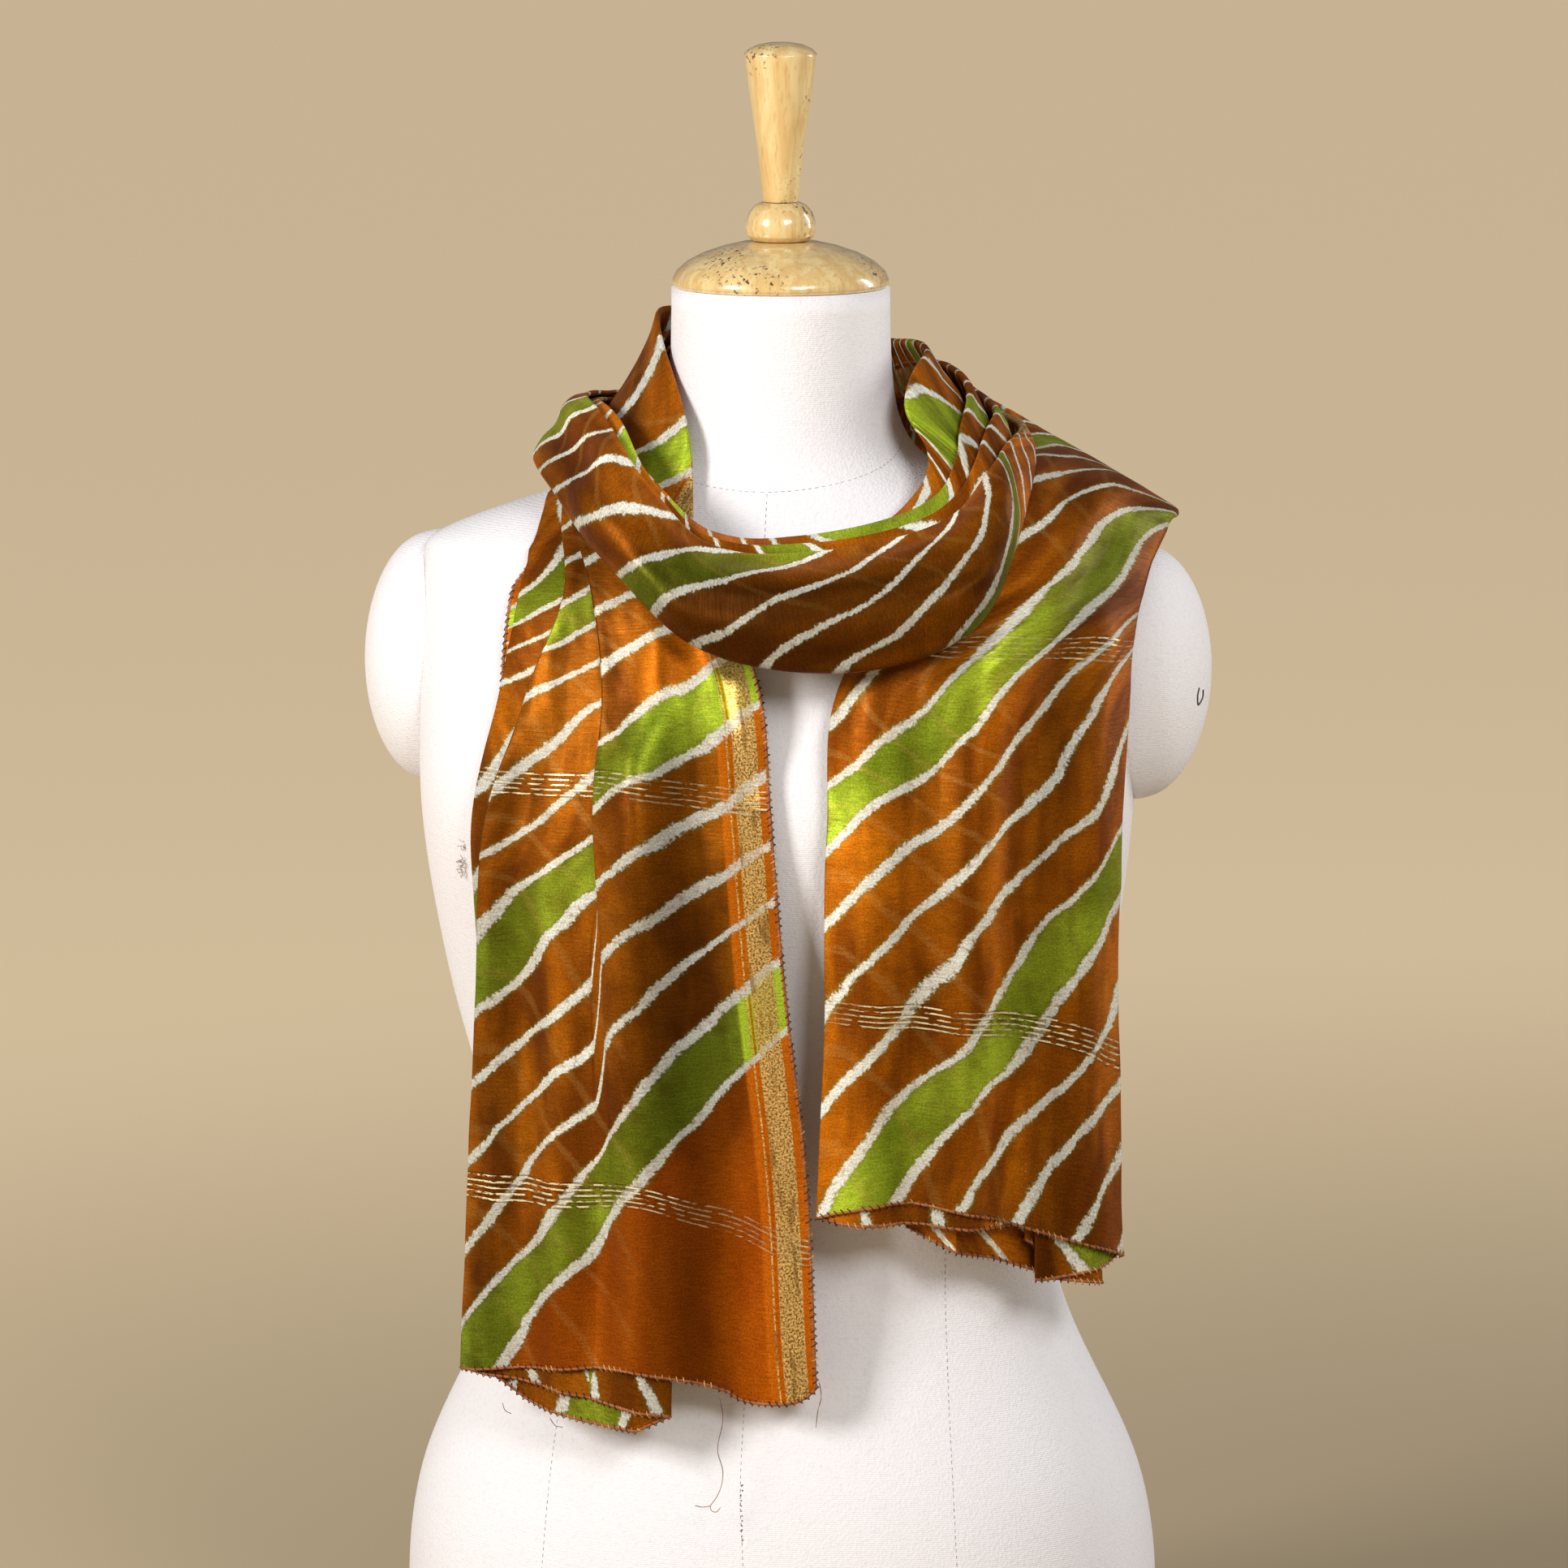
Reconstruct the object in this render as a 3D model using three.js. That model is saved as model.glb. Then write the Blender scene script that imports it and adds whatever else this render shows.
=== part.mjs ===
// A long leheriya stole draped on a dress form.
// Millimetres, +Z up. The origin is the middle of the form's flat bottom,
// and the form faces -Y.
//
// The stole is one sheet about 2 m long. It hangs down the form's right front
// (panel A), climbs the shoulder, passes behind the neck, crosses the chest as
// a low loop, passes behind the neck again and hangs down the left front
// (panel B). Across its width it is gathered in back-and-forth strips.
import * as THREE from 'three';

// ---------------------------------------------------------------- sizes
const sheetThickness = 1.0;
const bodyClearance = 1.1;     // middle of the sheet to the form, at its closest
const drapeTurn = 9;           // degrees from the drape's own frame to the form's
const armFaceX = 176.0;        // flat armhole plates
const armPlateFrom = 440;
const ringPoints = 44;

// The torso and neck, one row for each height.
// z, half width, front y, back y, roundness of the section
const torsoRows = [
  [0, 187, -110, 114, 2.3],
  [80, 188, -114, 118, 2.3],
  [130, 181, -110, 112, 2.3],
  [172, 163, -101, 100, 2.3],
  [215, 143, -92, 86, 2.25],
  [258, 134, -87, 76, 2.2],
  [310, 145, -89, 78, 2.2],
  [362, 160, -95, 83, 2.3],
  [415, 170, -107, 88, 2.4],
  [470, 176, -116, 91, 2.6],
  [510, 177, -107, 92, 2.6],
  [550, 178, -91, 90, 2.5],
  [580, 179, -79, 84, 2.3],
  [595, 178, -73, 77, 2.1],
  [604, 156, -69, 72, 2.0],
  [617, 119, -65, 67, 2.0],
  [630, 84, -61, 63, 2.0],
  [642, 65, -57, 60, 2.0],
  [656, 57, -54.5, 57, 2.0],
  [680, 54, -53.5, 54.5, 2.0],
  [719.5, 53.5, -53.5, 53.5, 2.0],
];
const torsoRings = [0, 40, 80, 105, 130, 151, 172, 193, 215, 237, 258, 284, 310, 336, 362, 389, 415,
  440, 470, 495, 525, 550, 566, 580, 588, 595, 604, 611, 617, 623, 630, 636, 642, 656, 680, 719.5];

// Stuffed arm caps sewn over the armholes: centre, half sizes, reach from the middle, edge.
const armCap = { y: 18, z: 532, halfWidth: 56, halfHeight: 64, reach: 214.3, edge: 3, seat: 1.6, sides: 28, rings: 6 };

// Turned wood: radius, height above the neck's top at 719.5
const neckCapProfile = [[52, 0.3], [53.2, 2.5], [52.5, 6], [48, 11.5], [40, 16.5], [28, 20.5], [17, 22.5]];
const beadProfile = [[14, 22.8], [17.2, 27.5], [16.5, 32.5], [13, 37.5], [10, 41.5]];
const handleProfile = [[8.6, 41.8], [9.5, 50.5], [12.5, 75.5], [15.4, 95], [17.6, 111.5], [17.6, 114.5],
  [14, 118], [7, 119.5]];
const neckTop = 719.5;

// The ribbon's course, one row for each station from panel A's hem to panel B's.
// Outer, middle and inner rail of its outermost surface, and the spacing of its layers.
// name, outer x y z, middle x y z, inner x y z, layer spacing
const rails = [
  ['hemA', -156, -84, 199, -72, -117, 201, 17, -128, 194, 1.8],
  ['a1', -153, -82, 300, -72, -117, 300, 12, -129, 300, 1.8],
  ['a2', -151, -82, 400, -77, -118, 400, 1, -129, 400, 1.8],
  ['a3', -153, -82, 475, -80, -117, 475, -5, -128, 475, 1.8],
  ['a4', -140, -75, 530, -75, -105, 532, -10, -115, 534, 1.8],
  ['a5', -129, -60, 583, -78, -83, 587, -28, -92, 588, 1.7],
  ['a6', -124, -29.4, 612.8, -83.3, -54.6, 617.8, -37.6, -68, 617.4, 1.8],
  ['w1', -121, 4, 631, -81, -22, 645, -47, -45, 661, 2.0],
  ['w2', -106, 34, 632, -80, 20, 665, -61, 8, 702, 2.3],
  ['w3', -64, 86, 620, -56, 72, 664, -44, 52, 706, 2.4],
  ['w4', 0, 108, 604, 0, 94, 656, 0, 76, 708, 3.4],
  ['w5', 82, 82, 612, 82, 66, 660, 72, 54, 706, 4.4],
  ['r0', 116, 0, 641, 112, 0, 662, 94, 4, 700, 3.8],
  ['r1', 117, -98, 617, 108, -73, 647, 86, -60, 669, 2.8],
  ['r2', 92, -146, 571, 88, -124, 605, 73, -98, 632, 2.3],
  ['l0', 22, -149, 550, 16, -131, 585, 8, -107, 614, 2.1],
  ['l1', -44, -128, 561, -42, -114, 589, -36, -90, 616, 2.1],
  ['l2', -80, -104, 593, -72, -93, 617, -60, -74, 637, 2.0],
  ['l3', -109, -54, 623, -96, -46, 645, -77, -34, 659, 1.9],
  ['l4', -122, 6, 636, -110, 10, 655, -89, 8, 668, 1.9],
  ['l5', -103, 75, 630, -95, 71, 649, -81, 64, 663, 1.9],
  ['k0', 0, 132, 606, 0, 122, 636, 0, 108, 662, 2.2],
  ['k1', 98, 92, 626, 98, 84, 648, 96, 74, 660, 2.2],
  ['s0', 191, 12, 611, 153, 14, 634, 122, 14, 641, 1.9],
  ['b0', 190, -24, 605, 144, -56, 624, 102, -52, 627, 1.7],
  ['b1', 180, -60, 579, 124, -100, 589, 82, -90, 588, 1.7],
  ['b2', 173, -76, 536, 104, -124, 539, 31, -112, 543, 1.8],
  ['b3', 169, -90, 470, 98, -136, 470, 22, -131, 470, 1.8],
  ['b4', 168, -88, 370, 95, -131, 370, 21, -132, 370, 1.8],
  ['hemB', 170, -90, 256, 95, -128, 284, 17, -129, 282, 1.8],
];

// Where the ribbon folds, from -1 at the outer rail to 1 at the inner rail:
// the hidden selvedge, five folds, and the selvedge that carries the gold border.
// hidden edge, fold 1, fold 2, fold 3, fold 4, fold 5, gold edge, grid rows up to the next station
const folds = {
  hemA: [-0.83, 0.22, -1.0, -0.20, -0.10, 0.50, 1.0, 1],
  a1: [-0.88, 0.26, -1.0, -0.20, -0.10, 0.50, 1.0, 1],
  a2: [-0.97, 0.24, -0.95, -0.19, -0.09, 0.50, 1.0, 2],
  a3: [-1.0, 0.15, -0.85, 0.02, -0.13, 0.50, 1.0, 2],
  a4: [-1.0, 0.20, -0.75, 0.10, -0.17, 0.50, 1.0, 2],
  a5: [-1.0, 0.50, -0.52, 0.25, -0.29, 0.66, 0.97, 3],
  a6: [-0.9, 0.50, -0.60, 0.45, -0.50, 0.90, 0.80, 3],
  w1: [-0.8, 0.50, -0.60, 0.56, -0.70, 1.0, 0.30, 3],
  w2: [-0.7, 0.60, -0.60, 0.70, -0.70, 1.0, -0.20, 2],
  w3: [-0.7, 0.70, -0.70, 0.80, -0.80, 1.0, -0.20, 2],
  w4: [-0.4, 0.70, -0.60, 0.60, -0.80, 0.60, -0.30, 2],
  w5: [-0.2, 0.60, -0.50, 0.36, -0.90, 0.10, -0.60, 2],
  r0: [0.0, 0.55, -0.30, 0.18, -1.0, -0.28, -0.65, 2],
  r1: [0.15, 0.66, -0.20, 0.40, -1.0, 0.05, -0.50, 2],
  r2: [0.0, 0.95, -0.40, 0.74, -1.0, 0.50, -0.50, 2],
  l0: [-0.5, 0.98, -0.80, 0.76, -1.0, 0.56, -0.50, 2],
  l1: [-0.5, 0.98, -0.80, 0.76, -1.0, 0.58, -0.50, 2],
  l2: [-0.5, 0.90, -0.80, 0.80, -1.0, 0.62, -0.50, 2],
  l3: [-0.6, 0.80, -0.80, 0.95, -1.0, 0.70, -0.70, 2],
  l4: [-0.6, 0.80, -0.80, 0.95, -1.0, 0.76, -0.70, 2],
  l5: [-0.6, 0.80, -0.80, 0.95, -1.0, 0.90, -0.70, 2],
  k0: [-0.5, 0.60, -0.80, 0.90, -1.0, 1.0, -0.40, 3],
  k1: [-0.55, 0.30, -0.80, 0.60, -1.0, 1.0, -0.60, 4],
  s0: [-0.5, -0.10, -0.66, 0.30, -1.0, 1.0, -0.60, 3],
  b0: [-0.5, -0.15, -0.64, 0.10, -1.0, 1.0, -0.45, 2],
  b1: [-0.5, -0.18, -0.64, -0.08, -1.0, 1.0, -0.35, 2],
  b2: [-0.55, -0.22, -0.66, -0.22, -1.0, 1.0, -0.32, 2],
  b3: [-0.6, -0.28, -0.70, -0.32, -1.0, 1.0, -0.325, 1],
  b4: [-0.7, -0.35, -0.80, -0.40, -1.0, 1.0, -0.325, 1],
  hemB: [-0.75, -0.35, -0.85, -0.40, -1.0, 1.0, -0.325, 0],
};

// How deep each strip lies behind the outermost surface, in layer spacings.
// strip 1 (hidden edge to fold 1) ... strip 6 (fold 5 to the gold edge)
const loopDepths = [5.3, 4.3, 3.3, 2.3, 0, 1];
const depths = {
  hemA: [2, 1, 0, 0, 0, 0],
  a1: [2.6, 1.6, 0.5, 0.25, 0, 0],
  a2: [4, 3, 2, 1, 0, 0],
  a3: [4, 3, 2, 1, 0, 0],
  a4: [4, 3, 2, 1, 0, 0],
  a5: [4, 3, 2, 1, 0, 0],
  a6: [5.2, 4.2, 3.2, 2.2, 0, 1],
};

// How unevenly the hems hang: extra drop at each edge and fold, and sag between them.
const hemReach = 80;
const hemSag = {
  A: { drop: [2, 17, 0, -4, -4.5, 4, -2.5], sag: [13, 1, 1, 0, -2, 6.5] },
  B: { drop: [18, 10, 19, 28, 1, 0, 1], sag: [0, 0, 0, 3, 0, 7] },
};
const stripSegments = [4, 5, 5, 5, 6, 4];   // across each strip
const foldSegments = 2;                     // round each fold
const smallestFold = 1.0;                   // radius
const selvedgeTurn = 5.0;                   // how much of the gold edge turns in where it is folded away

// ---------------------------------------------------------------- curves
// Piecewise cubic through rows of values at rising positions.
function hermite(xs, rows, slopes, x) {
  let i = 0;
  while (i < xs.length - 2 && x >= xs[i + 1]) i += 1;
  const h = xs[i + 1] - xs[i];
  const t = Math.min(Math.max((x - xs[i]) / h, 0), 1);
  const a = 2 * t ** 3 - 3 * t ** 2 + 1, b = (t ** 3 - 2 * t ** 2 + t) * h;
  const c = -2 * t ** 3 + 3 * t ** 2, d = (t ** 3 - t ** 2) * h;
  return rows[i].map((_, k) => a * rows[i][k] + b * slopes[i][k] + c * rows[i + 1][k] + d * slopes[i + 1][k]);
}

// Slopes that never overshoot the rows.
function steadySlopes(xs, rows) {
  const n = xs.length;
  const step = (i) => rows[i].map((v, k) => (rows[i + 1][k] - v) / (xs[i + 1] - xs[i]));
  return rows.map((row, i) => {
    if (i === 0) return step(0);
    if (i === n - 1) return step(n - 2);
    const before = step(i - 1), after = step(i);
    const h0 = xs[i] - xs[i - 1], h1 = xs[i + 1] - xs[i];
    return row.map((_, k) => {
      if (before[k] * after[k] <= 0) return 0;
      const w0 = 2 * h1 + h0, w1 = h1 + 2 * h0;
      return (w0 + w1) / (w0 / before[k] + w1 / after[k]);
    });
  });
}

// Smooth slopes for the rails.
function smoothSlopes(xs, rows) {
  const n = xs.length;
  const step = (i) => rows[i].map((v, k) => (rows[i + 1][k] - v) / (xs[i + 1] - xs[i]));
  return rows.map((row, i) => {
    if (i === 0) return step(0);
    if (i === n - 1) return step(n - 2);
    const before = step(i - 1), after = step(i);
    const h0 = xs[i] - xs[i - 1], h1 = xs[i + 1] - xs[i];
    return row.map((_, k) => (h1 * before[k] + h0 * after[k]) / (h0 + h1));
  });
}

const clamp = (v, lo, hi) => Math.min(Math.max(v, lo), hi);

// ---------------------------------------------------------------- the form
const torsoZ = torsoRows.map((r) => r[0]);
const torsoShape = torsoRows.map((r) => r.slice(1));
const torsoSlopes = steadySlopes(torsoZ, torsoShape);
const sectionAt = (z) => hermite(torsoZ, torsoShape, torsoSlopes, clamp(z, 0, neckTop));

function torsoRing(z) {
  const [halfWidth, front, back, round] = sectionAt(z);
  const middle = (front + back) / 2, half = (back - front) / 2;
  const ring = [];
  for (let k = 0; k < ringPoints; k += 1) {
    const a = (2 * Math.PI * k) / ringPoints, c = Math.cos(a), s = Math.sin(a);
    let x = halfWidth * Math.sign(c) * Math.abs(c) ** (2 / round);
    const y = middle + half * Math.sign(s) * Math.abs(s) ** (2 / round);
    if (z > armPlateFrom) x = clamp(x, -armFaceX, armFaceX);
    ring.push([x, y, z]);
  }
  return ring;
}

// A closed solid through a stack of rings, fanned shut at both ends.
function stackGeometry(rings) {
  const points = rings.flat(), faces = [], n = rings[0].length, last = (rings.length - 1) * n;
  for (let i = 0; i < rings.length - 1; i += 1) {
    for (let k = 0; k < n; k += 1) {
      const a = i * n + k, b = i * n + ((k + 1) % n), c = b + n, d = a + n;
      faces.push(a, b, c, a, c, d);
    }
  }
  const bottom = points.length, top = bottom + 1;
  points.push([0, 0, rings[0][0][2]], [0, 0, rings[rings.length - 1][0][2]]);
  for (let k = 0; k < n; k += 1) {
    const next = (k + 1) % n;
    faces.push(bottom, next, k, top, last + k, last + next);
  }
  return solidGeometry(points, faces);
}

function solidGeometry(points, faces) {
  const geometry = new THREE.BufferGeometry();
  geometry.setAttribute('position', new THREE.Float32BufferAttribute(points.flat(), 3));
  geometry.setIndex(faces);
  geometry.computeVertexNormals();
  return geometry;
}

// A turned piece about the Z axis, from its profile of radius and height.
function turnedGeometry(profile, sides) {
  const first = profile[0], last = profile[profile.length - 1];
  const line = [[0, first[1]], ...profile, [0, last[1]]].map(([r, z]) => new THREE.Vector2(r, z + neckTop));
  return new THREE.LatheGeometry(line, sides).rotateX(Math.PI / 2);
}

// The side of the form at a given depth and height.
function sideAt(y, z) {
  const [halfWidth, front, back, round] = sectionAt(z);
  const v = Math.abs((y - (front + back) / 2) / ((back - front) / 2));
  return Math.min(halfWidth * (1 - v ** round) ** (1 / round), armFaceX);
}

// A cap that swells from the side of the form, its back following that side.
function armCapGeometry(side) {
  const { sides, rings } = armCap, points = [], faces = [];
  const layer = (outer) => {
    const first = points.length;
    for (let i = 0; i <= rings; i += 1) {
      for (let k = 0; k < (i === 0 ? 1 : sides); k += 1) {
        const a = (2 * Math.PI * k) / sides, r = Math.sin((Math.PI / 2) * (i / rings));
        const y = armCap.y + armCap.halfWidth * r * Math.cos(a), z = armCap.z + armCap.halfHeight * r * Math.sin(a);
        const base = sideAt(y, z) + armCap.seat, rim = base + armCap.edge;
        points.push([side * (outer ? rim + (armCap.reach - rim) * Math.sqrt(1 - r * r) : base), y, z]);
      }
    }
    return first;
  };
  const face = (flip, a, b, c) => faces.push(...(flip === side > 0 ? [a, c, b] : [a, b, c]));
  const starts = [layer(true), layer(false)];
  starts.forEach((first, inner) => {
    const flip = inner === 1;
    const at = (i, k) => (i === 0 ? first : first + 1 + (i - 1) * sides + (k % sides));
    for (let k = 0; k < sides; k += 1) {
      face(flip, at(0, 0), at(1, k), at(1, k + 1));
      for (let i = 1; i < rings; i += 1) {
        face(flip, at(i, k), at(i + 1, k), at(i + 1, k + 1));
        face(flip, at(i, k), at(i + 1, k + 1), at(i, k + 1));
      }
    }
  });
  for (let k = 0; k < sides; k += 1) {
    const [o, p, q, r] = [starts[0], starts[0], starts[1], starts[1]].map((first, n) => first + 1 + (rings - 1) * sides + ((k + (n % 3 === 0 ? 0 : 1)) % sides));
    face(false, o, r, q);
    face(false, o, q, p);
  }
  return solidGeometry(points, faces);
}

// Rough distance outside the form's surface, for a point in the drape's frame.
const turnCos = Math.cos(THREE.MathUtils.degToRad(drapeTurn));
const turnSin = Math.sin(THREE.MathUtils.degToRad(drapeTurn));
const toForm = ([x, y, z]) => [x * turnCos - y * turnSin, x * turnSin + y * turnCos, z];

function distanceToForm(point) {
  const value = ([x, y, z]) => {
    const [halfWidth, front, back, round] = sectionAt(z);
    const middle = (front + back) / 2, half = (back - front) / 2;
    const r = (Math.abs(x / halfWidth) ** round + Math.abs((y - middle) / half) ** round) ** (1 / round);
    return (r - 1) * Math.min(halfWidth, half);
  };
  const [x, y, z] = toForm(point), e = 0.5;
  const gx = (value([x + e, y, z]) - value([x - e, y, z])) / (2 * e);
  const gy = (value([x, y + e, z]) - value([x, y - e, z])) / (2 * e);
  const gz = (value([x, y, z + e]) - value([x, y, z - e])) / (2 * e);
  return value([x, y, z]) / Math.max(Math.hypot(gx, gy, gz), 0.3);
}

// ---------------------------------------------------------------- the stole
const add = (a, b, s = 1) => a.map((v, k) => v + s * b[k]);
const cross = (a, b) => [a[1] * b[2] - a[2] * b[1], a[2] * b[0] - a[0] * b[2], a[0] * b[1] - a[1] * b[0]];
const unit = (a) => {
  const l = Math.max(Math.hypot(...a), 1e-9);
  return a.map((v) => v / l);
};

const names = rails.map((r) => r[0]);
const railRows = rails.map((r) => r.slice(1, 10));
const stationU = [0];
for (let i = 1; i < rails.length; i += 1) {
  const step = Math.hypot(...[0, 1, 2].map((k) => railRows[i][3 + k] - railRows[i - 1][3 + k]));
  stationU.push(stationU[i - 1] + step);
}
const length = stationU[stationU.length - 1];
const curves = {
  rail: { rows: railRows, slopes: smoothSlopes(stationU, railRows) },
  spacing: { rows: rails.map((r) => [r[10]]) },
  fold: { rows: names.map((n) => folds[n].slice(0, 7)) },
  depth: { rows: names.map((n) => depths[n] ?? loopDepths) },
};
for (const key of ['spacing', 'fold', 'depth']) curves[key].slopes = steadySlopes(stationU, curves[key].rows);
const along = (key, u) => hermite(stationU, curves[key].rows, curves[key].slopes, clamp(u, 0, length));

const stripCount = stripSegments.length, edgeCount = stripCount + 1, lastStrip = stripCount - 1;

// Where the section is cut: edges, round the folds, and across the strips.
function sectionCuts() {
  const cuts = [];
  for (let k = 0; k < edgeCount; k += 1) {
    if (k === 0 || k === edgeCount - 1) cuts.push({ kind: 'edge', k, t: 0 });
    else for (let i = 0; i <= foldSegments; i += 1) cuts.push({ kind: 'fold', k, t: (2 * i) / foldSegments - 1 });
    if (k < stripCount) {
      for (let i = 1; i < stripSegments[k]; i += 1) cuts.push({ kind: 'strip', k, t: i / stripSegments[k] });
    }
  }
  return cuts;
}

// A point of the outermost surface: a parabola across the three rails.
function outermost(rail, c) {
  const [wo, wm, wi] = [(c * (c - 1)) / 2, 1 - c * c, (c * (c + 1)) / 2];
  return [0, 1, 2].map((k) => rail[k] * wo + rail[3 + k] * wm + rail[6 + k] * wi);
}

// How far the layers are pressed together, from -1.3 to 1.5 across the ribbon.
const pressFrom = -1.3, pressStep = 0.05, pressCount = 57;
function pressing(rail, fold, depth, spacing) {
  let ratio = [];
  for (let i = 0; i < pressCount; i += 1) {
    const c = pressFrom + pressStep * i;
    let deepest = 0.5;
    for (let k = 0; k < stripCount; k += 1) {
      const lo = Math.min(fold[k], fold[k + 1]) - 0.06, hi = Math.max(fold[k], fold[k + 1]) + 0.06;
      if (c >= lo && c <= hi) deepest = Math.max(deepest, depth[k] * spacing);
    }
    const room = Math.max(distanceToForm(outermost(rail, c)) - bodyClearance, 0.5);
    ratio.push(Math.min(1, room / deepest));
  }
  const at = (list, i) => list[clamp(i, 0, pressCount - 1)];
  ratio = ratio.map((_, i) => Math.min(at(ratio, i - 1), at(ratio, i), at(ratio, i + 1)));
  for (let pass = 0; pass < 2; pass += 1) {
    const from = ratio;
    ratio = from.map((v, i) => (i === 0 || i === pressCount - 1 ? v : (from[i - 1] + v + from[i + 1]) / 3));
  }
  return (c) => {
    const x = clamp((c - pressFrom) / pressStep, 0, pressCount - 1), i = Math.min(Math.floor(x), pressCount - 2);
    return ratio[i] + (ratio[i + 1] - ratio[i]) * (x - i);
  };
}

// One row of the sheet's middle surface, at distance u from panel A's hem.
function sheetRow(u, cuts) {
  const rail = along('rail', u), fold = along('fold', u), depth = along('depth', u), spacing = along('spacing', u)[0];
  const half = Math.hypot(rail[6] - rail[0], rail[7] - rail[1], rail[8] - rail[2]) / 2;
  const radius = [], turnIn = [], turnOut = [], start = [...depth], end = [...depth];
  for (let k = 1; k < edgeCount - 1; k += 1) {
    radius[k] = Math.max((Math.abs(depth[k] - depth[k - 1]) * spacing) / 2, smallestFold);
    turnIn[k] = clamp(((fold[k] - fold[k - 1]) * half) / (2 * radius[k]), -1, 1);
    turnOut[k] = clamp(((fold[k + 1] - fold[k]) * half) / (2 * radius[k]), -1, 1);
  }
  // a strip that narrows to nothing stands up between its neighbours
  for (let k = 1; k < stripCount - 1; k += 1) {
    const flat = clamp((Math.abs(fold[k + 1] - fold[k]) * half) / (2 * radius[k]), 0, 1);
    if ((depth[k] - depth[k - 1]) * (depth[k + 1] - depth[k]) > 0) {
      start[k] -= (1 - flat) * 0.35 * (depth[k] - depth[k - 1]);
      end[k] += (1 - flat) * 0.35 * (depth[k + 1] - depth[k]);
    }
  }
  const edgeWidth = (fold[edgeCount - 1] - fold[lastStrip]) * half;
  end[lastStrip] = start[lastStrip] + Math.sqrt(Math.max(selvedgeTurn ** 2 - edgeWidth ** 2, 0)) / spacing;

  const press = pressing(rail, fold, depth, spacing);
  const ahead = along('rail', u + 1), behind = along('rail', u - 1);
  return cuts.map(({ kind, k, t }) => {
    let c, deep, drop = null;
    if (kind === 'edge') {
      c = fold[k];
      deep = (k === 0 ? start[0] : end[lastStrip]) * spacing;
    } else if (kind === 'fold') {
      const a = (t * Math.PI) / 2, m = (1 + turnIn[k] * turnOut[k]) / 2;
      const reach = (1 - m) * (1 - Math.cos(a)) + m * Math.abs(Math.sin(a));
      c = fold[k] + (((t < 0 ? -turnIn[k] : turnOut[k]) * radius[k]) / half) * reach;
      deep = ((end[k - 1] + start[k]) / 2 + ((start[k] - end[k - 1]) / 2) * Math.sin(a)) * spacing;
    } else {
      const from = fold[k] + (k > 0 ? (turnOut[k] * radius[k]) / half : 0);
      const to = fold[k + 1] - (k < stripCount - 1 ? (turnIn[k + 1] * radius[k + 1]) / half : 0);
      c = from + (to - from) * t;
      deep = (start[k] + (end[k] - start[k]) * t) * spacing;
    }
    const across = add(outermost(rail, c + 0.02), outermost(rail, c - 0.02), -1);
    const onward = add(outermost(ahead, c), outermost(behind, c), -1);
    const outward = unit(cross(across, onward));
    let point = add(outermost(rail, c), outward, -deep * press(c));
    for (const [hem, sign, far] of [[hemSag.A, -1, u], [hemSag.B, 1, length - u]]) {
      const fade = Math.max(1 - far / hemReach, 0) ** 2;
      drop = kind === 'strip'
        ? hem.drop[k] * (1 - t) + hem.drop[k + 1] * t + hem.sag[k] * (1 - (2 * t - 1) ** 4)
        : hem.drop[k];
      point = add(point, unit(onward), sign * drop * fade);
    }
    return { point, c };
  });
}

// The sheet: its middle surface given thickness, closed at hems and selvedges.
function stoleGeometry() {
  const cuts = sectionCuts();
  const us = [];
  names.slice(0, -1).forEach((name, i) => {
    const rows = folds[name][7];
    for (let r = 0; r < rows; r += 1) us.push(stationU[i] + ((stationU[i + 1] - stationU[i]) * r) / rows);
  });
  us.push(length);
  const grid = us.map((u) => sheetRow(u, cuts));
  const rowCount = grid.length, cutCount = cuts.length, off = rowCount * cutCount;
  const at = (i, j) => grid[clamp(i, 0, rowCount - 1)][clamp(j, 0, cutCount - 1)].point;
  const front = [], back = [];
  for (let i = 0; i < rowCount; i += 1) {
    for (let j = 0; j < cutCount; j += 1) {
      const normal = unit(cross(add(at(i, j + 1), at(i, j - 1), -1), add(at(i + 1, j), at(i - 1, j), -1)));
      front.push(toForm(add(at(i, j), normal, sheetThickness / 2)));
      back.push(toForm(add(at(i, j), normal, -sheetThickness / 2)));
    }
  }
  const faces = [];
  for (let i = 0; i < rowCount - 1; i += 1) {
    for (let j = 0; j < cutCount - 1; j += 1) {
      const a = i * cutCount + j, b = a + 1, d = a + cutCount, c = d + 1;
      // the diagonal runs the same way on every layer, so that layers stay apart
      if (grid[i][j + 1].c >= grid[i][j].c) {
        faces.push(a, b, c, a, c, d, off + a, off + c, off + b, off + a, off + d, off + c);
      } else {
        faces.push(a, b, d, b, c, d, off + a, off + d, off + b, off + b, off + d, off + c);
      }
    }
  }
  const rim = (a, d) => faces.push(a, d, off + d, a, off + d, off + a);
  for (let i = 0; i < rowCount - 1; i += 1) {
    rim(i * cutCount, (i + 1) * cutCount);
    rim((i + 1) * cutCount + cutCount - 1, i * cutCount + cutCount - 1);
  }
  for (let j = 0; j < cutCount - 1; j += 1) {
    rim(j + 1, j);
    rim((rowCount - 1) * cutCount + j, (rowCount - 1) * cutCount + j + 1);
  }
  return solidGeometry([...front, ...back], faces);
}

// ---------------------------------------------------------------- the pieces
const formCloth = new THREE.MeshStandardMaterial({ color: '#d6cfc8', roughness: 0.85, metalness: 0 });
const wood = new THREE.MeshStandardMaterial({ color: '#c48a52', roughness: 0.35, metalness: 0 });
const dyedSilk = new THREE.MeshStandardMaterial({ color: '#a8560f', roughness: 0.5, metalness: 0 });

function piece(name, geometry, material) {
  const mesh = new THREE.Mesh(geometry, material);
  mesh.name = name;
  return mesh;
}

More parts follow.
